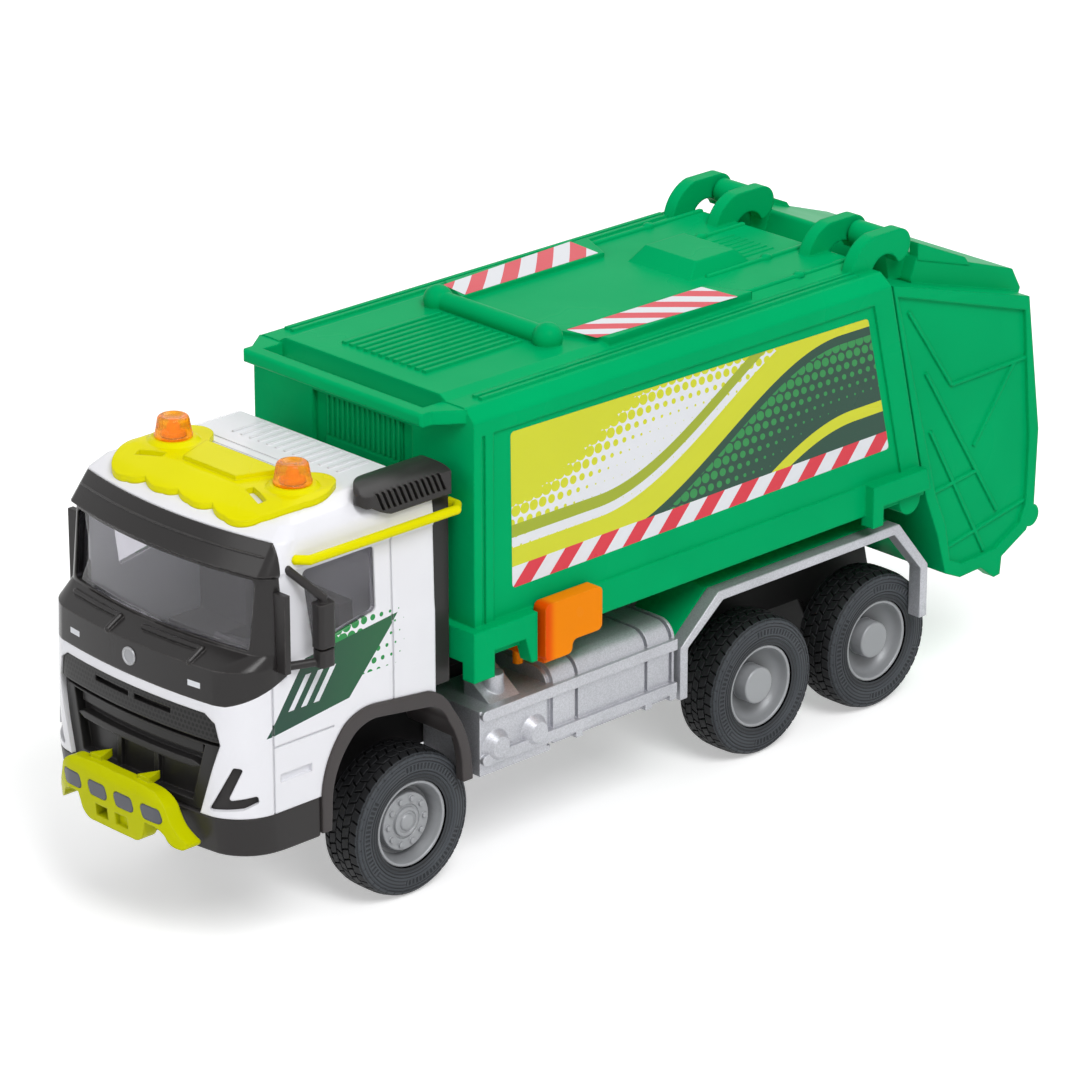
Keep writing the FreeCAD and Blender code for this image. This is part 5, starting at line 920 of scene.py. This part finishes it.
@dataclass(frozen=True)
class Beacon:
    """A fluted clear orange lens, with a foot, a drafted wall and a dished top, and a deeper orange core in it."""

    word: str
    side: int
    centre_x: float = 79.1
    centre_y: float = 16.5
    low_z: float = 85.15
    height: float = 4.0
    foot_radius: float = 3.6
    foot_height: float = 0.45
    foot_step: Span = (0.12, 0.15)
    top_radius: float = 3.0
    rounding: float = 0.7
    dish_radius: float = 1.7
    dish_lip: float = 0.25
    dish_depth: float = 0.35
    # The dish's wall is broken this far in from its radius, and at this share of its depth.
    dish_step: Span = (0.3, 0.4)
    flutes: int = 26
    flute_depth: float = 0.09
    # Steps around the lens and around the core.
    segments: tuple[int, int] = (208, 48)
    # Radius and height of each corner of the core.
    core: tuple[Span, ...] = ((0.0, 0.1), (2.1, 0.1), (1.95, 0.9), (1.2, 1.1), (1.1, 2.2), (0.8, 2.5), (0.0, 2.5))

    def profile(self) -> np.ndarray:
        """Radius and height of the lens, from the middle of its foot out, up and in over its top."""
        draft = math.degrees(math.atan2(self.foot_radius - self.top_radius, self.height))
        floor = self.height - self.dish_depth
        foot = ((0.0, 0.0), (self.foot_radius, 0.0), (self.foot_radius, self.foot_height),
                (self.foot_radius - self.foot_step[0], self.foot_height + self.foot_step[1]))
        shoulder = quarter(self.top_radius - self.rounding, self.height - self.rounding, self.rounding, draft, 90.0)
        dish = ((self.dish_radius + self.dish_lip, self.height),
                (self.dish_radius, self.height - self.dish_depth * self.dish_step[1]),
                (self.dish_radius - self.dish_step[0], floor), (0.0, floor))
        return np.concatenate((foot, shoulder, dish))

    def build(self) -> None:
        """Makes the lens in place of the node, and the core inside it."""
        centre = (self.centre_x, self.side * self.centre_y, self.low_z)
        profile = self.profile()
        # The flutes run up the drafted wall, from over the foot to the start of the shoulder.
        depth = np.zeros(len(profile))
        depth[3:6] = self.flute_depth
        node = "beacon_" + self.word
        lens = turned_mesh("beacon_lens", [turned_grid(profile, centre, UP, self.segments[0], self.flutes, depth)])
        new_piece(node + "_lens", lens, "chassis", AMBER, node)
        core = turned_mesh("beacon_core", [turned_grid(np.array(self.core), centre, UP, self.segments[1])])
        new_piece(node + "_core", core, "chassis", AMBER_CORE)


@dataclass(frozen=True)
class Badge:
    """A blank domed disc with a raised rim in the middle of the front moulding."""

    z: float = 53.8
    radius: float = 1.75
    rim: float = 0.32
    proud: float = 0.3
    sink: float = 0.2
    outer_edge: float = 0.12
    inner_edge: float = 0.1
    # The dome: its own edge inside the rim, then shares of the rim's inner radius, each with its height.
    dome_edge: Span = (0.02, 0.08)
    dome: tuple[Span, ...] = ((0.6, 0.16), (0.3, 0.19), (0.0, 0.2))
    segments: int = 64
    from_x: float = 200.0

    def build(self) -> None:
        """Lays the disc against the moulding."""
        points, normals = surface_points("windscreen_surround", [(self.from_x, 0.0, self.z)], (-1.0, 0.0, 0.0))
        rim = self.radius - self.rim
        outline = np.concatenate((
            ((0.0, -self.sink), (self.radius, -self.sink)),
            quarter(self.radius - self.outer_edge, self.proud - self.outer_edge, self.outer_edge, 0.0, 90.0, 5),
            quarter(rim + self.inner_edge, self.proud - self.inner_edge, self.inner_edge, 90.0, 180.0, 5),
            ((rim - self.dome_edge[0], self.dome_edge[1]),), np.array(self.dome) * (rim, 1.0)))
        mesh = turned_mesh("badge", [turned_grid(outline, points[0], normals[0], self.segments)])
        new_piece("blank_badge", mesh, "chassis", BADGE)


@dataclass(frozen=True)
class Tyre:
    """One tyre: a rounded carcass with rings and pads on its sides and rows of staggered tread blocks."""

    axle_x: float
    side: int
    radius: float = AXLE_Z
    bore: float = 8.6
    width: float = 9.8
    outer_y: float = 25.9
    # Radii of the bead, then of the side wall, each with its number of samples.
    bead_samples: tuple[float, float, int] = (8.6, 9.1, 3)
    wall_samples: tuple[float, float, int] = (9.2, 13.4, 52)
    bulge: float = 0.09
    bulge_depth: float = 0.4
    draw_in: float = 0.07
    crown_fall: float = 0.85
    pitches: int = 40
    groove_depth: float = 0.55
    rib_edges: tuple[float, ...] = (-4.15, -2.75, -2.45, -0.95, -0.65, 0.65, 0.95, 2.45, 2.75, 4.15)
    groove_share: float = 0.2
    # Half the width of a groove's wall, across the tyre and as a share of a pitch.
    wall_across: float = 0.02
    wall_around: float = 0.012
    notch_radius: float = 12.9
    notch_share: float = 0.6
    zigzag: float = 0.35
    zigzag_rate: float = 1.6
    ring_places: tuple[float, ...] = (9.4, 9.95, 10.5, 12.4, 12.95)
    ring_width: float = 0.11
    ring_depth: float = 0.17
    band_radii: Span = (10.95, 12.05)
    pad_height: float = 0.16
    arc_count: int = 3
    arc_level: float = 0.5

    def section(self) -> tuple[np.ndarray, np.ndarray, np.ndarray]:
        """The carcass section: half width as a rounded function of the radius, and the crown's samples.

        Returns:
            Width from the middle, radius, and a 0 to 1 share of how far each sample belongs to the tread.
        """
        half = self.width / 2
        wall_radius = np.concatenate((np.linspace(*self.bead_samples), np.linspace(*self.wall_samples)[1:]))
        depth = (wall_radius - self.bore) / (self.radius - self.bore)
        # The wall bulges by a sine up to the middle of its depth and draws in with the fourth power to the shoulder.
        swell = np.sin(np.clip(depth / self.bulge_depth, 0, 1) * np.pi / 2)
        wall = half * (1.0 - self.bulge * (1.0 - swell) - self.draw_in * depth ** 4)
        rings = sum(np.exp(-((wall_radius - place) / self.ring_width) ** 2) for place in self.ring_places)
        wall = wall - self.ring_depth * rings
        edges = np.array(self.rib_edges)
        crown = np.sort(np.concatenate((edges - self.wall_across, edges + self.wall_across, [0.0])))
        # The crown falls away from the middle with the fourth power of the way out.
        crown_radius = self.radius - self.crown_fall * (np.abs(crown) / half) ** 4
        y = np.concatenate((-wall, crown, wall[::-1]))
        radius = np.concatenate((wall_radius, crown_radius, wall_radius[::-1]))
        tread = np.concatenate((np.zeros_like(wall), np.ones_like(crown), np.zeros_like(wall)))
        return y, radius, tread

    def mesh(self) -> bpy.types.Mesh:
        """The whole tyre: the section turned about the axle, cut by staggered grooves along slightly waved lines.

        Returns:
            The tyre's mesh in metres.
        """
        y, radius, tread = self.section()
        pitch = 2 * np.pi / self.pitches
        cuts = np.array((0.0, self.groove_share, 0.5, 0.5 + self.groove_share))
        shares = np.sort(np.concatenate((cuts - self.wall_around, cuts + self.wall_around)) % 1.0)
        turns = (np.arange(self.pitches)[:, None] + shares[None, :]).reshape(-1, 1)
        phase = turns % 1.0
        lanes = np.digitize(y, self.rib_edges)
        in_rib = (lanes % 2 == 1)[None, :]
        row = (lanes // 2)[None, :]
        start = np.where(row % 2 == 0, 0.0, 0.5)
        local = (phase - start) % 1.0
        # A place that rounding has put just under 1 is the groove's start.
        cross = (local < self.groove_share) | (local > 1.0 - 1e-9)
        shoulder = (lanes == 0) | (lanes == len(self.rib_edges))
        low = np.where(in_rib, cross, ~shoulder[None, :]) & (tread[None, :] > 0)
        notch = cross & (tread[None, :] == 0) & (radius[None, :] > self.notch_radius)
        depth = np.where(low, self.groove_depth, 0.0) + np.where(notch, self.groove_depth * self.notch_share, 0.0)
        r = radius[None, :] - depth
        wave = self.zigzag * np.sin(y * self.zigzag_rate)[None, :] * (tread[None, :] > 0) / self.radius
        angle = turns * pitch + wave
        centre = self.side * (self.outer_y - self.width / 2)
        # Between the pads the outer wall lies lower, in three arcs round the tyre.
        band = (tread == 0) & (y > 0) & (radius > self.band_radii[0]) & (radius < self.band_radii[1])
        arcs = np.sin(self.arc_count * turns * pitch) < self.arc_level
        gap = band[None, :] & (phase % 0.5 > self.groove_share) & arcs
        out = y[None, :] - self.pad_height * gap
        points = np.stack((self.axle_x + r * np.sin(angle), centre + self.side * out,
                           self.radius + r * np.cos(angle)), axis=-1)
        return closed_mesh("tyre", [points[:, ::self.side]], wrap=True, sharp=38.0)


class WheelKind(Enum):
    """The two faces that the wheels have."""

    BOLTED = "a raised disc with a ring of bolts round a stepped hub"
    CAPPED = "a deep bowl round a plain round cap"


@dataclass(frozen=True)
class Wheel:
    """A moulded wheel: a rolled lip, a barrel, and a face that is bolted or capped."""

    kind: WheelKind
    axle_x: float
    side: int
    axle_z: float = AXLE_Z
    lip_y: float = 25.25
    back_y: float = 16.75
    rim_radius: float = 8.55
    lip_width: float = 0.8
    # Radius, and height over the back, of each corner of the recess in the back and of its flange.
    recess: tuple[Span, ...] = ((0.0, 2.0), (6.4, 2.0), (7.3, 0.25), (7.5, 0.0))
    rim_bevel: float = 0.15
    disc_radius: float = 5.7
    disc_y: float = 23.7
    disc_edge: float = 0.25
    # Radius and height of each corner of the bolted wheel's barrel.
    barrel: tuple[Span, ...] = ((7.4, 24.25), (6.9, 23.0), (6.55, 22.3), (5.75, 22.3))
    # Radius, and height over the disc, of each corner of the stepped hub.
    hub: tuple[Span, ...] = ((3.45, 0.0), (3.3, -0.22), (3.0, -0.22), (2.85, 0.3),
                             (2.65, 0.42), (2.25, 0.42), (2.1, 0.2), (1.95, 0.3))
    # Radius and height of the dome in the hub.
    dome: Span = (1.75, 0.75)
    segments: int = 120
    bolts: int = 10
    bolt_segments: int = 20
    bolt_circle: float = 4.5
    bolt_radius: float = 0.6
    bolt_height: float = 0.5
    bolt_sink: float = 0.2
    bolt_edge: float = 0.12
    cap_radius: float = 3.75
    cap_y: float = 24.85
    cap_edge: float = 0.45
    # Radius, and height over the cap's edge, of each corner inside the cap's rounded rim.
    cap_top: tuple[Span, ...] = ((2.35, 0.02), (1.2, -0.04), (0.0, -0.05))
    bowl_y: float = 21.4
    bowl_drop: float = 0.4
    bowl_foot: float = 0.25
    bowl_lip: float = 0.1
    bowl_turns: Span = (8.0, 90.0)
    shade_gap: float = 0.06

    @property
    def finish(self) -> WheelPlastic:
        """The wheel's plastic, with its painted barrel shade centred on its own axle."""
        deep = self.disc_radius if self.kind is WheelKind.BOLTED else self.cap_radius
        return replace(WHEEL, name=f"wheel_at_{self.axle_x:.0f}", axle_x=self.axle_x,
                       painted_shade_radius=deep + self.shade_gap)

    def rim(self) -> np.ndarray:
        """Radius and height from the middle of the back, over its flange and round the rolled lip."""
        half = self.lip_width / 2
        flange = ((self.rim_radius - self.rim_bevel, self.back_y), (self.rim_radius, self.back_y + self.rim_bevel))
        lip = quarter(self.rim_radius - half, self.lip_y - half, half, 0.0, 180.0, 11)
        return np.concatenate((np.array(self.recess) + (0.0, self.back_y), flange, lip))

    def bolted_face(self) -> np.ndarray:
        """Radius and height from the lip down the stepped barrel, over the disc and hub to a domed middle."""
        disc = quarter(self.disc_radius - self.disc_edge, self.disc_y - self.disc_edge, self.disc_edge, 0.0, 90.0, 6)
        hub = np.array(self.hub) + (0.0, self.disc_y)
        dome = quarter(0.0, 0.0, 1.0, 0.0, 90.0, 10) * self.dome + (0.0, hub[-1, 1])
        return np.concatenate((self.barrel, disc, hub, dome))

    def capped_face(self) -> np.ndarray:
        """Radius and height from the lip down an elliptic bowl, up the cap's side and in over its top."""
        inner = self.rim_radius - self.lip_width
        turn = np.radians(np.linspace(*self.bowl_turns, 12))
        foot, rim_y = self.cap_radius + self.bowl_foot, self.lip_y - self.bowl_drop
        bowl = np.stack((foot + (inner - foot - self.bowl_lip) * np.cos(turn),
                         rim_y - (rim_y - self.bowl_y) * np.sin(turn)), axis=1)
        edge = quarter(self.cap_radius - self.cap_edge, self.cap_y - self.cap_edge, self.cap_edge, 0.0, 90.0, 8)
        top = np.array(self.cap_top) + (0.0, self.cap_y)
        return np.concatenate((bowl, ((self.cap_radius, self.bowl_y),), edge, top))

    def mesh(self) -> bpy.types.Mesh:
        """The turned wheel, with its bolts where it has them.

        Returns:
            The mesh in metres.
        """
        centre = np.array((self.axle_x, 0.0, self.axle_z))
        axis = (0.0, float(self.side), 0.0)
        bolted = self.kind is WheelKind.BOLTED
        face = self.bolted_face() if bolted else self.capped_face()
        grids = [turned_grid(np.concatenate((self.rim(), face)), centre, axis, self.segments)]
        edge = self.bolt_edge
        bolt = np.concatenate((
            ((0.0, -self.bolt_sink), (self.bolt_radius, -self.bolt_sink)),
            quarter(self.bolt_radius - edge, self.bolt_height - edge, edge, 0.0, 90.0, 4),
            ((0.0, self.bolt_height),)))
        for turn in np.arange(self.bolts if bolted else 0) * 2 * np.pi / self.bolts:
            place = centre + (self.bolt_circle * np.cos(turn), self.side * self.disc_y,
                              self.bolt_circle * np.sin(turn))
            grids.append(turned_grid(bolt, place, axis, self.bolt_segments))
        return turned_mesh("wheel", grids)


@dataclass
class Axle:
    """One axle's wheels, pin and tyres."""

    place: str
    axle_x: float
    kind: WheelKind
    pin_rounding: float = 0.1

    def build(self) -> None:
        """Dresses the pin and makes both wheels and both tyres."""
        body = self.place + "_axle"
        dress(body + "_pin", Softener(self.pin_rounding))
        rubber = replace(RUBBER, name=body + "_rubber", axle_x=self.axle_x)
        for word, side in SIDES:
            wheel = Wheel(self.kind, self.axle_x, side)
            node = f"{self.place}_wheel_{word}"
            new_piece(node + "_turned", wheel.mesh(), body, wheel.finish, node)
            node = f"{self.place}_tyre_{word}"
            new_piece(node + "_treaded", Tyre(self.axle_x, side).mesh(), body, rubber, node)


@dataclass
class Sheet:
    """A thin printed sheet laid on a flat panel, slightly proud of it."""

    name: str
    corners: tuple[Point, ...]
    finish: Finish
    lift: Point
    columns: int = 40
    rows: int = 12
    corner_radius: float = 0.8

    def build(self) -> bpy.types.Object:
        """Lays a grid between the four corners by blending them, drawn in at the corners by a quarter round.

        Returns:
            The sheet's piece, riding on the chassis.
        """
        low_start, low_end, high_end, high_start = (np.array(corner) for corner in self.corners)
        length = float(np.linalg.norm(low_end - low_start))
        height = float(np.linalg.norm(high_start - low_start))
        u = 0.5 - 0.5 * np.cos(np.linspace(0, np.pi, self.columns))
        v = np.linspace(0, 1, self.rows)
        # Near each end the height shrinks by the fall of a quarter circle of the corner's radius.
        near = np.clip(self.corner_radius - np.minimum(u, 1 - u) * length, 0, self.corner_radius)
        fall = (self.corner_radius - np.sqrt(self.corner_radius ** 2 - near ** 2)) / height
        across = fall[:, None] + (1 - 2 * fall[:, None]) * v[None, :]
        along = np.broadcast_to(u[:, None], across.shape)
        low = low_start + along[..., None] * (low_end - low_start)
        high = high_start + along[..., None] * (high_end - high_start)
        points = low + across[..., None] * (high - low) + np.array(self.lift)
        mesh = grid_mesh(self.name, [points])
        flat = np.stack((along, across), axis=-1).reshape(-1, 2)
        layer = mesh.uv_layers.new(name="sheet")
        corner_vertex = np.empty(len(mesh.loops), dtype=np.int32)
        mesh.loops.foreach_get("vertex_index", corner_vertex)
        layer.data.foreach_set("uv", flat[corner_vertex].astype(np.float32).ravel())
        out = np.array(self.lift) / np.linalg.norm(self.lift)
        if float(np.dot(np.array(mesh.polygons[0].normal), out)) < 0:
            mesh.flip_normals()
        return new_piece(self.name, mesh, "chassis", self.finish)


@dataclass
class Container:
    """The load body with its printed sheets. Their corners run back from the low or inner front one, and round."""

    rounding: float = 0.34
    panel_y: float = 29.8
    sheet_lift: float = 0.05
    # Way along x and height of each corner of the side sheets.
    side_corners: tuple[Span, ...] = ((37.6, 56.8), (-64.6, 57.6), (-57.6, 86.4), (38.0, 87.6))
    # Way along x and from the middle of each corner of the roof sheets, and their height.
    roof_corners: tuple[Span, ...] = ((8.4, 13.9), (-27.5, 14.1), (-28.4, 23.0), (7.4, 21.1))
    roof_z: float = 96.1
    roof_corner_radius: float = 0.3

    def build(self) -> None:
        """Dresses the shell and lays the side and roof sheets."""
        dress("container", Softener(self.rounding))
        for word, side in SIDES:
            corners = tuple((x, side * self.panel_y, z) for x, z in self.side_corners)
            Sheet("side_print_" + word, corners, SIDE_PRINT, (0.0, side * self.sheet_lift, 0.0)).build()
            corners = tuple((x, side * y, self.roof_z) for x, y in self.roof_corners)
            Sheet("roof_stripes_" + word, corners, ROOF_PRINT, (0.0, 0.0, self.sheet_lift),
                  corner_radius=self.roof_corner_radius).build()


# A ridge's foot lies this far inside the surface, and its section has this many points and this power.
RIDGE_SINK = 0.05
RIDGE_POINTS = 9
RIDGE_POWER = 0.6


def ridge_stations(length: float, height: float, middle: int) -> np.ndarray:
    """Shares of the way along a ridge, closer together where its ends are drawn down."""
    end = np.array((0.0, 0.12, 0.4, 1.0)) * height / length
    return np.concatenate((end[:-1], np.linspace(end[-1], 1.0 - end[-1], middle), 1.0 - end[:-1][::-1]))


def ridge(path: np.ndarray, outward: np.ndarray, across: np.ndarray, width: float, height: float) -> np.ndarray:
    """A low ridge along a path: half a superellipse across, drawn down in a quarter round at both ends.

    Args:
        path: points on the surface that it lies on.
        outward: the surface's direction at each point.
        across: the direction of its width at each point.
        width: its width.
        height: how far it stands out.

    Returns:
        Points in millimetres: stations along, by points around, by three.
    """
    steps = np.linalg.norm(np.diff(path, axis=0), axis=1)
    along = np.concatenate(((0.0,), np.cumsum(steps)))
    end = np.clip(np.minimum(along, along[-1] - along) / height, 0.0, 1.0)
    swell = np.sqrt(1.0 - (1.0 - end) ** 2)[:, None]
    turn = np.linspace(0.0, np.pi, RIDGE_POINTS)
    side = swell * (np.sign(np.cos(turn)) * np.abs(np.cos(turn)) ** RIDGE_POWER * width / 2)
    rise = swell * (np.abs(np.sin(turn)) ** RIDGE_POWER * height) - RIDGE_SINK
    return path[:, None] + side[..., None] * across[:, None] + rise[..., None] * outward[:, None]


@dataclass(frozen=True)
class VisorLedge:
    """The fine ledge that runs round the visor below its upper edge."""

    level: float = 77.3
    half_span: float = 25.6
    from_x: float = 120.0
    width: float = 0.5
    height: float = 0.34
    samples: int = 60

    def build(self) -> None:
        """Finds the visor's face along the ledge by rays from the front, and lays the ridge on it."""
        share = ridge_stations(2 * self.half_span, self.height, self.samples)
        y = (2 * share - 1) * self.half_span
        rays = np.stack((np.full_like(y, self.from_x), y, np.full_like(y, self.level)), axis=1)
        path, _ = surface_points("windscreen_surround", rays, (-1.0, 0.0, 0.0))
        way = np.gradient(path, axis=0)
        outward = np.stack((way[:, 1], -way[:, 0], np.zeros(len(path))), axis=1)
        outward /= np.linalg.norm(outward, axis=1)[:, None]
        across = np.tile(UP, (len(path), 1))
        mesh = closed_mesh("visor_ledge", [ridge(path, outward, across, self.width, self.height)])
        new_piece("visor_ledge", mesh, "chassis", FRONT_PANEL)


@dataclass(frozen=True)
class RoofTrim:
    """Fine raised lines moulded into the rear of the roof: long rails with clips, and a row of ribs by the pad."""

    roof_z: float = 95.2
    # Where each rail starts and ends along x and lies across, and where each clip lies along x and across.
    rails: tuple[tuple[float, float, float], ...] = (
        (-34.0, -63.0, 8.9), (-31.5, -63.0, 20.6), (-31.5, -63.0, -20.6), (-34.0, -63.0, -8.9))
    rail_width: float = 1.1
    rail_height: float = 0.6
    clips: tuple[tuple[float, float], ...] = ((-50.7, 8.9), (-47.7, 20.6), (-47.7, -20.6), (-50.7, -8.9))
    clip_length: float = 2.6
    clip_width: float = 2.1
    clip_height: float = 1.0
    rib_start: float = -46.5
    rib_end: float = -56.5
    rib_count: int = 7
    rib_half_span: float = 5.4
    rib_width: float = 0.55
    rib_height: float = 0.3

    def bar(self, start: Sequence[float], end: Sequence[float], width: float, height: float) -> np.ndarray:
        """A low straight bar lying on the roof, from one x and y to another."""
        first, last = np.array((*start, self.roof_z)), np.array((*end, self.roof_z))
        way = (last - first) / np.linalg.norm(last - first)
        share = ridge_stations(float(np.linalg.norm(last - first)), height, 2)[:, None]
        count = len(share)
        return ridge(first + share * (last - first), np.tile(UP, (count, 1)),
                     np.tile((-way[1], way[0], 0.0), (count, 1)), width, height)

    def build(self) -> None:
        """Lays every bar as one piece."""
        grids = [self.bar((x0, y), (x1, y), self.rail_width, self.rail_height) for x0, x1, y in self.rails]
        half = self.clip_length / 2
        grids += [self.bar((x + half, y), (x - half, y), self.clip_width, self.clip_height) for x, y in self.clips]
        for y in np.linspace(-self.rib_half_span, self.rib_half_span, self.rib_count):
            grids.append(self.bar((self.rib_start, y), (self.rib_end, y), self.rib_width, self.rib_height))
        new_piece("roof_trim", closed_mesh("roof_trim", grids), "chassis", GREEN)


@dataclass(frozen=True)
class Lamp:
    """A large soft square lamp: where it hangs and its side, in metres, and its power in watts."""

    name: str
    place: Point
    side: float
    power: float
    target: Point = (0.0, 0.0, 0.05)

    def build(self) -> None:
        """Hangs the lamp, aimed at the truck."""
        data = bpy.data.lights.new(self.name, "AREA")
        data.size = self.side
        data.energy = self.power
        aim(self.name, data, Vector(self.place), Vector(self.target))


def aim(name: str, data: bpy.types.ID, place: Vector, target: Vector) -> bpy.types.Object:
    """Puts a lamp or camera at a place, in metres, looking at a target, and gives back its object."""
    made = bpy.data.objects.new(name, data)
    made.location = place
    made.rotation_euler = (target - place).to_track_quat("-Z", "Y").to_euler()
    bpy.context.scene.collection.objects.link(made)
    return made


@dataclass
class Studio:
    """The pale floor, the soft lamps and the camera."""

    # Where the camera stands and looks, in millimetres.
    camera_place: Point = (658.1, 683.6, 424.9)
    camera_target: Point = (12.0, 10.53, 53.8)
    lens: float = 176.03
    sensor: float = 36.0
    # Half the floor's side in metres, its lines each way, and how far it lies below the tyres in millimetres.
    floor_half: float = 4.0
    floor_lines: int = 9
    floor_z: float = -0.02
    # The paper's two tones, and how much of the second its grain brings in.
    paper: tuple[Colour, Colour] = ((0.86, 0.86, 0.865), (0.80, 0.80, 0.81))
    paper_scale: float = 300.0
    paper_grain: tuple[float, ...] = (0.3, 0.7, 0.0, 0.04)
    paper_glow: float = 0.42
    world_light: float = 0.34
    lamps: tuple[Lamp, ...] = (Lamp("key_lamp", (0.3, 0.9, 1.15), 0.7, 13.5),
                               Lamp("fill_lamp", (1.3, -0.35, 0.8), 0.9, 5.0),
                               Lamp("back_lamp", (-0.9, -0.2, 1.2), 0.9, 5.0))

    def build(self) -> None:
        """Makes the floor, the world, the lamps and the camera."""
        self.floor()
        self.world()
        for lamp in self.lamps:
            lamp.build()
        data = bpy.data.cameras.new("camera")
        data.lens = self.lens
        data.sensor_width = self.sensor
        place, target = (Vector(point) * MM for point in (self.camera_place, self.camera_target))
        bpy.context.scene.camera = aim("camera", data, place, target)
        bpy.context.scene.view_settings.view_transform = "Standard"

    def seen(self, s: Shading) -> Socket:
        """1 for what the camera sees, straight or in a mirror or through glass, otherwise 0."""
        rays = s.node("ShaderNodeLightPath").outputs
        mirrored = s.maths("MAXIMUM", rays["Is Glossy Ray"], rays["Is Transmission Ray"])
        return s.maths("MAXIMUM", rays["Is Camera Ray"], mirrored)

    def floor(self) -> None:
        """A wide flat grid of paper whose seen colour is lifted towards white."""
        span = np.linspace(-self.floor_half / MM, self.floor_half / MM, self.floor_lines)
        x, y = np.meshgrid(span, span, indexing="ij")
        mesh = grid_mesh("floor", [np.stack((x, y, np.full_like(x, self.floor_z)), axis=-1)])
        if mesh.polygons[0].normal.z < 0:
            mesh.flip_normals()
        floor = bpy.data.objects.new("floor", mesh)
        bpy.context.scene.collection.objects.link(floor)
        made, s = empty_material("floor_paper")
        tone = s.spread(s.noise(s.place(), self.paper_scale), *self.paper_grain)
        shader = s.node("ShaderNodeBsdfPrincipled", None, {
            "Base Color": s.blend(tone, *self.paper), "Roughness": 0.9, "Emission Color": (1.0, 1.0, 1.0),
            "Emission Strength": s.product(self.seen(s), self.paper_glow)})
        s.node("ShaderNodeOutputMaterial", None, {0: shader.outputs[0]})
        mesh.materials.append(made)

    def world(self) -> None:
        """A white surround for what is seen, and a softer one for the light it gives."""
        world = bpy.data.worlds.new("studio")
        bpy.context.scene.world = world
        world.use_nodes = True
        world.node_tree.nodes.clear()
        s = Shading(world.node_tree)
        strength = s.spread(self.seen(s), 0.0, 1.0, self.world_light, 1.0)
        back = s.node("ShaderNodeBackground", None, {"Color": (1.0, 1.0, 1.0), "Strength": strength})
        s.node("ShaderNodeOutputWorld", None, {0: back.outputs[0]})


@dataclass
class Mouldings:
    """Every other moulding, dressed as it is in the frame, with its own width of rounding in millimetres."""

    widths: dict[str, float] = field(default_factory=lambda: {
        "grille": 0.14, "bull_bar_lamps": 0.3, "headlamp_slots": 0.12, "windscreen_surround": 0.2,
        "handrail_left": 0.14, "handrail_right": 0.14, "mirror_left": 0.2, "mirror_right": 0.2,
        "cab_shell": 0.16, "cab_interior": 0.3, "air_intake": 0.3, "light_bar": 0.4, "bull_bar": 0.55,
        "lever": 0.5, "bumper": 0.4, "tailgate": 0.3, "windscreen_glass": 0.0, "side_glass": 0.0,
    })
    usual_width: float = 0.24
    wide: float = 0.35

    def build(self) -> None:
        """Dresses each node that nothing stands in for yet. Wide roundings have one more segment."""
        for node in sorted(set(frame["nodes"]) - DRESSED):
            width = self.widths.get(node, self.usual_width)
            dress(node, Softener(width, 3 if width > self.wide else 2))


def main() -> None:
    """Builds the truck class by class and then the studio."""
    logging.basicConfig(level=logging.INFO, format="%(message)s")
    for place, axle_x, kind in (("front", 59.1, WheelKind.BOLTED), ("middle", -34.0, WheelKind.CAPPED),
                                ("rear", -67.3, WheelKind.CAPPED)):
        Axle(place, axle_x, kind).build()
    Container().build()
    for word, side in SIDES:
        Beacon(word, side).build()
    for part in (Badge(), RoofTrim(), VisorLedge(), Mouldings(), Studio()):
        part.build()


if __name__ == "__main__":
    main()
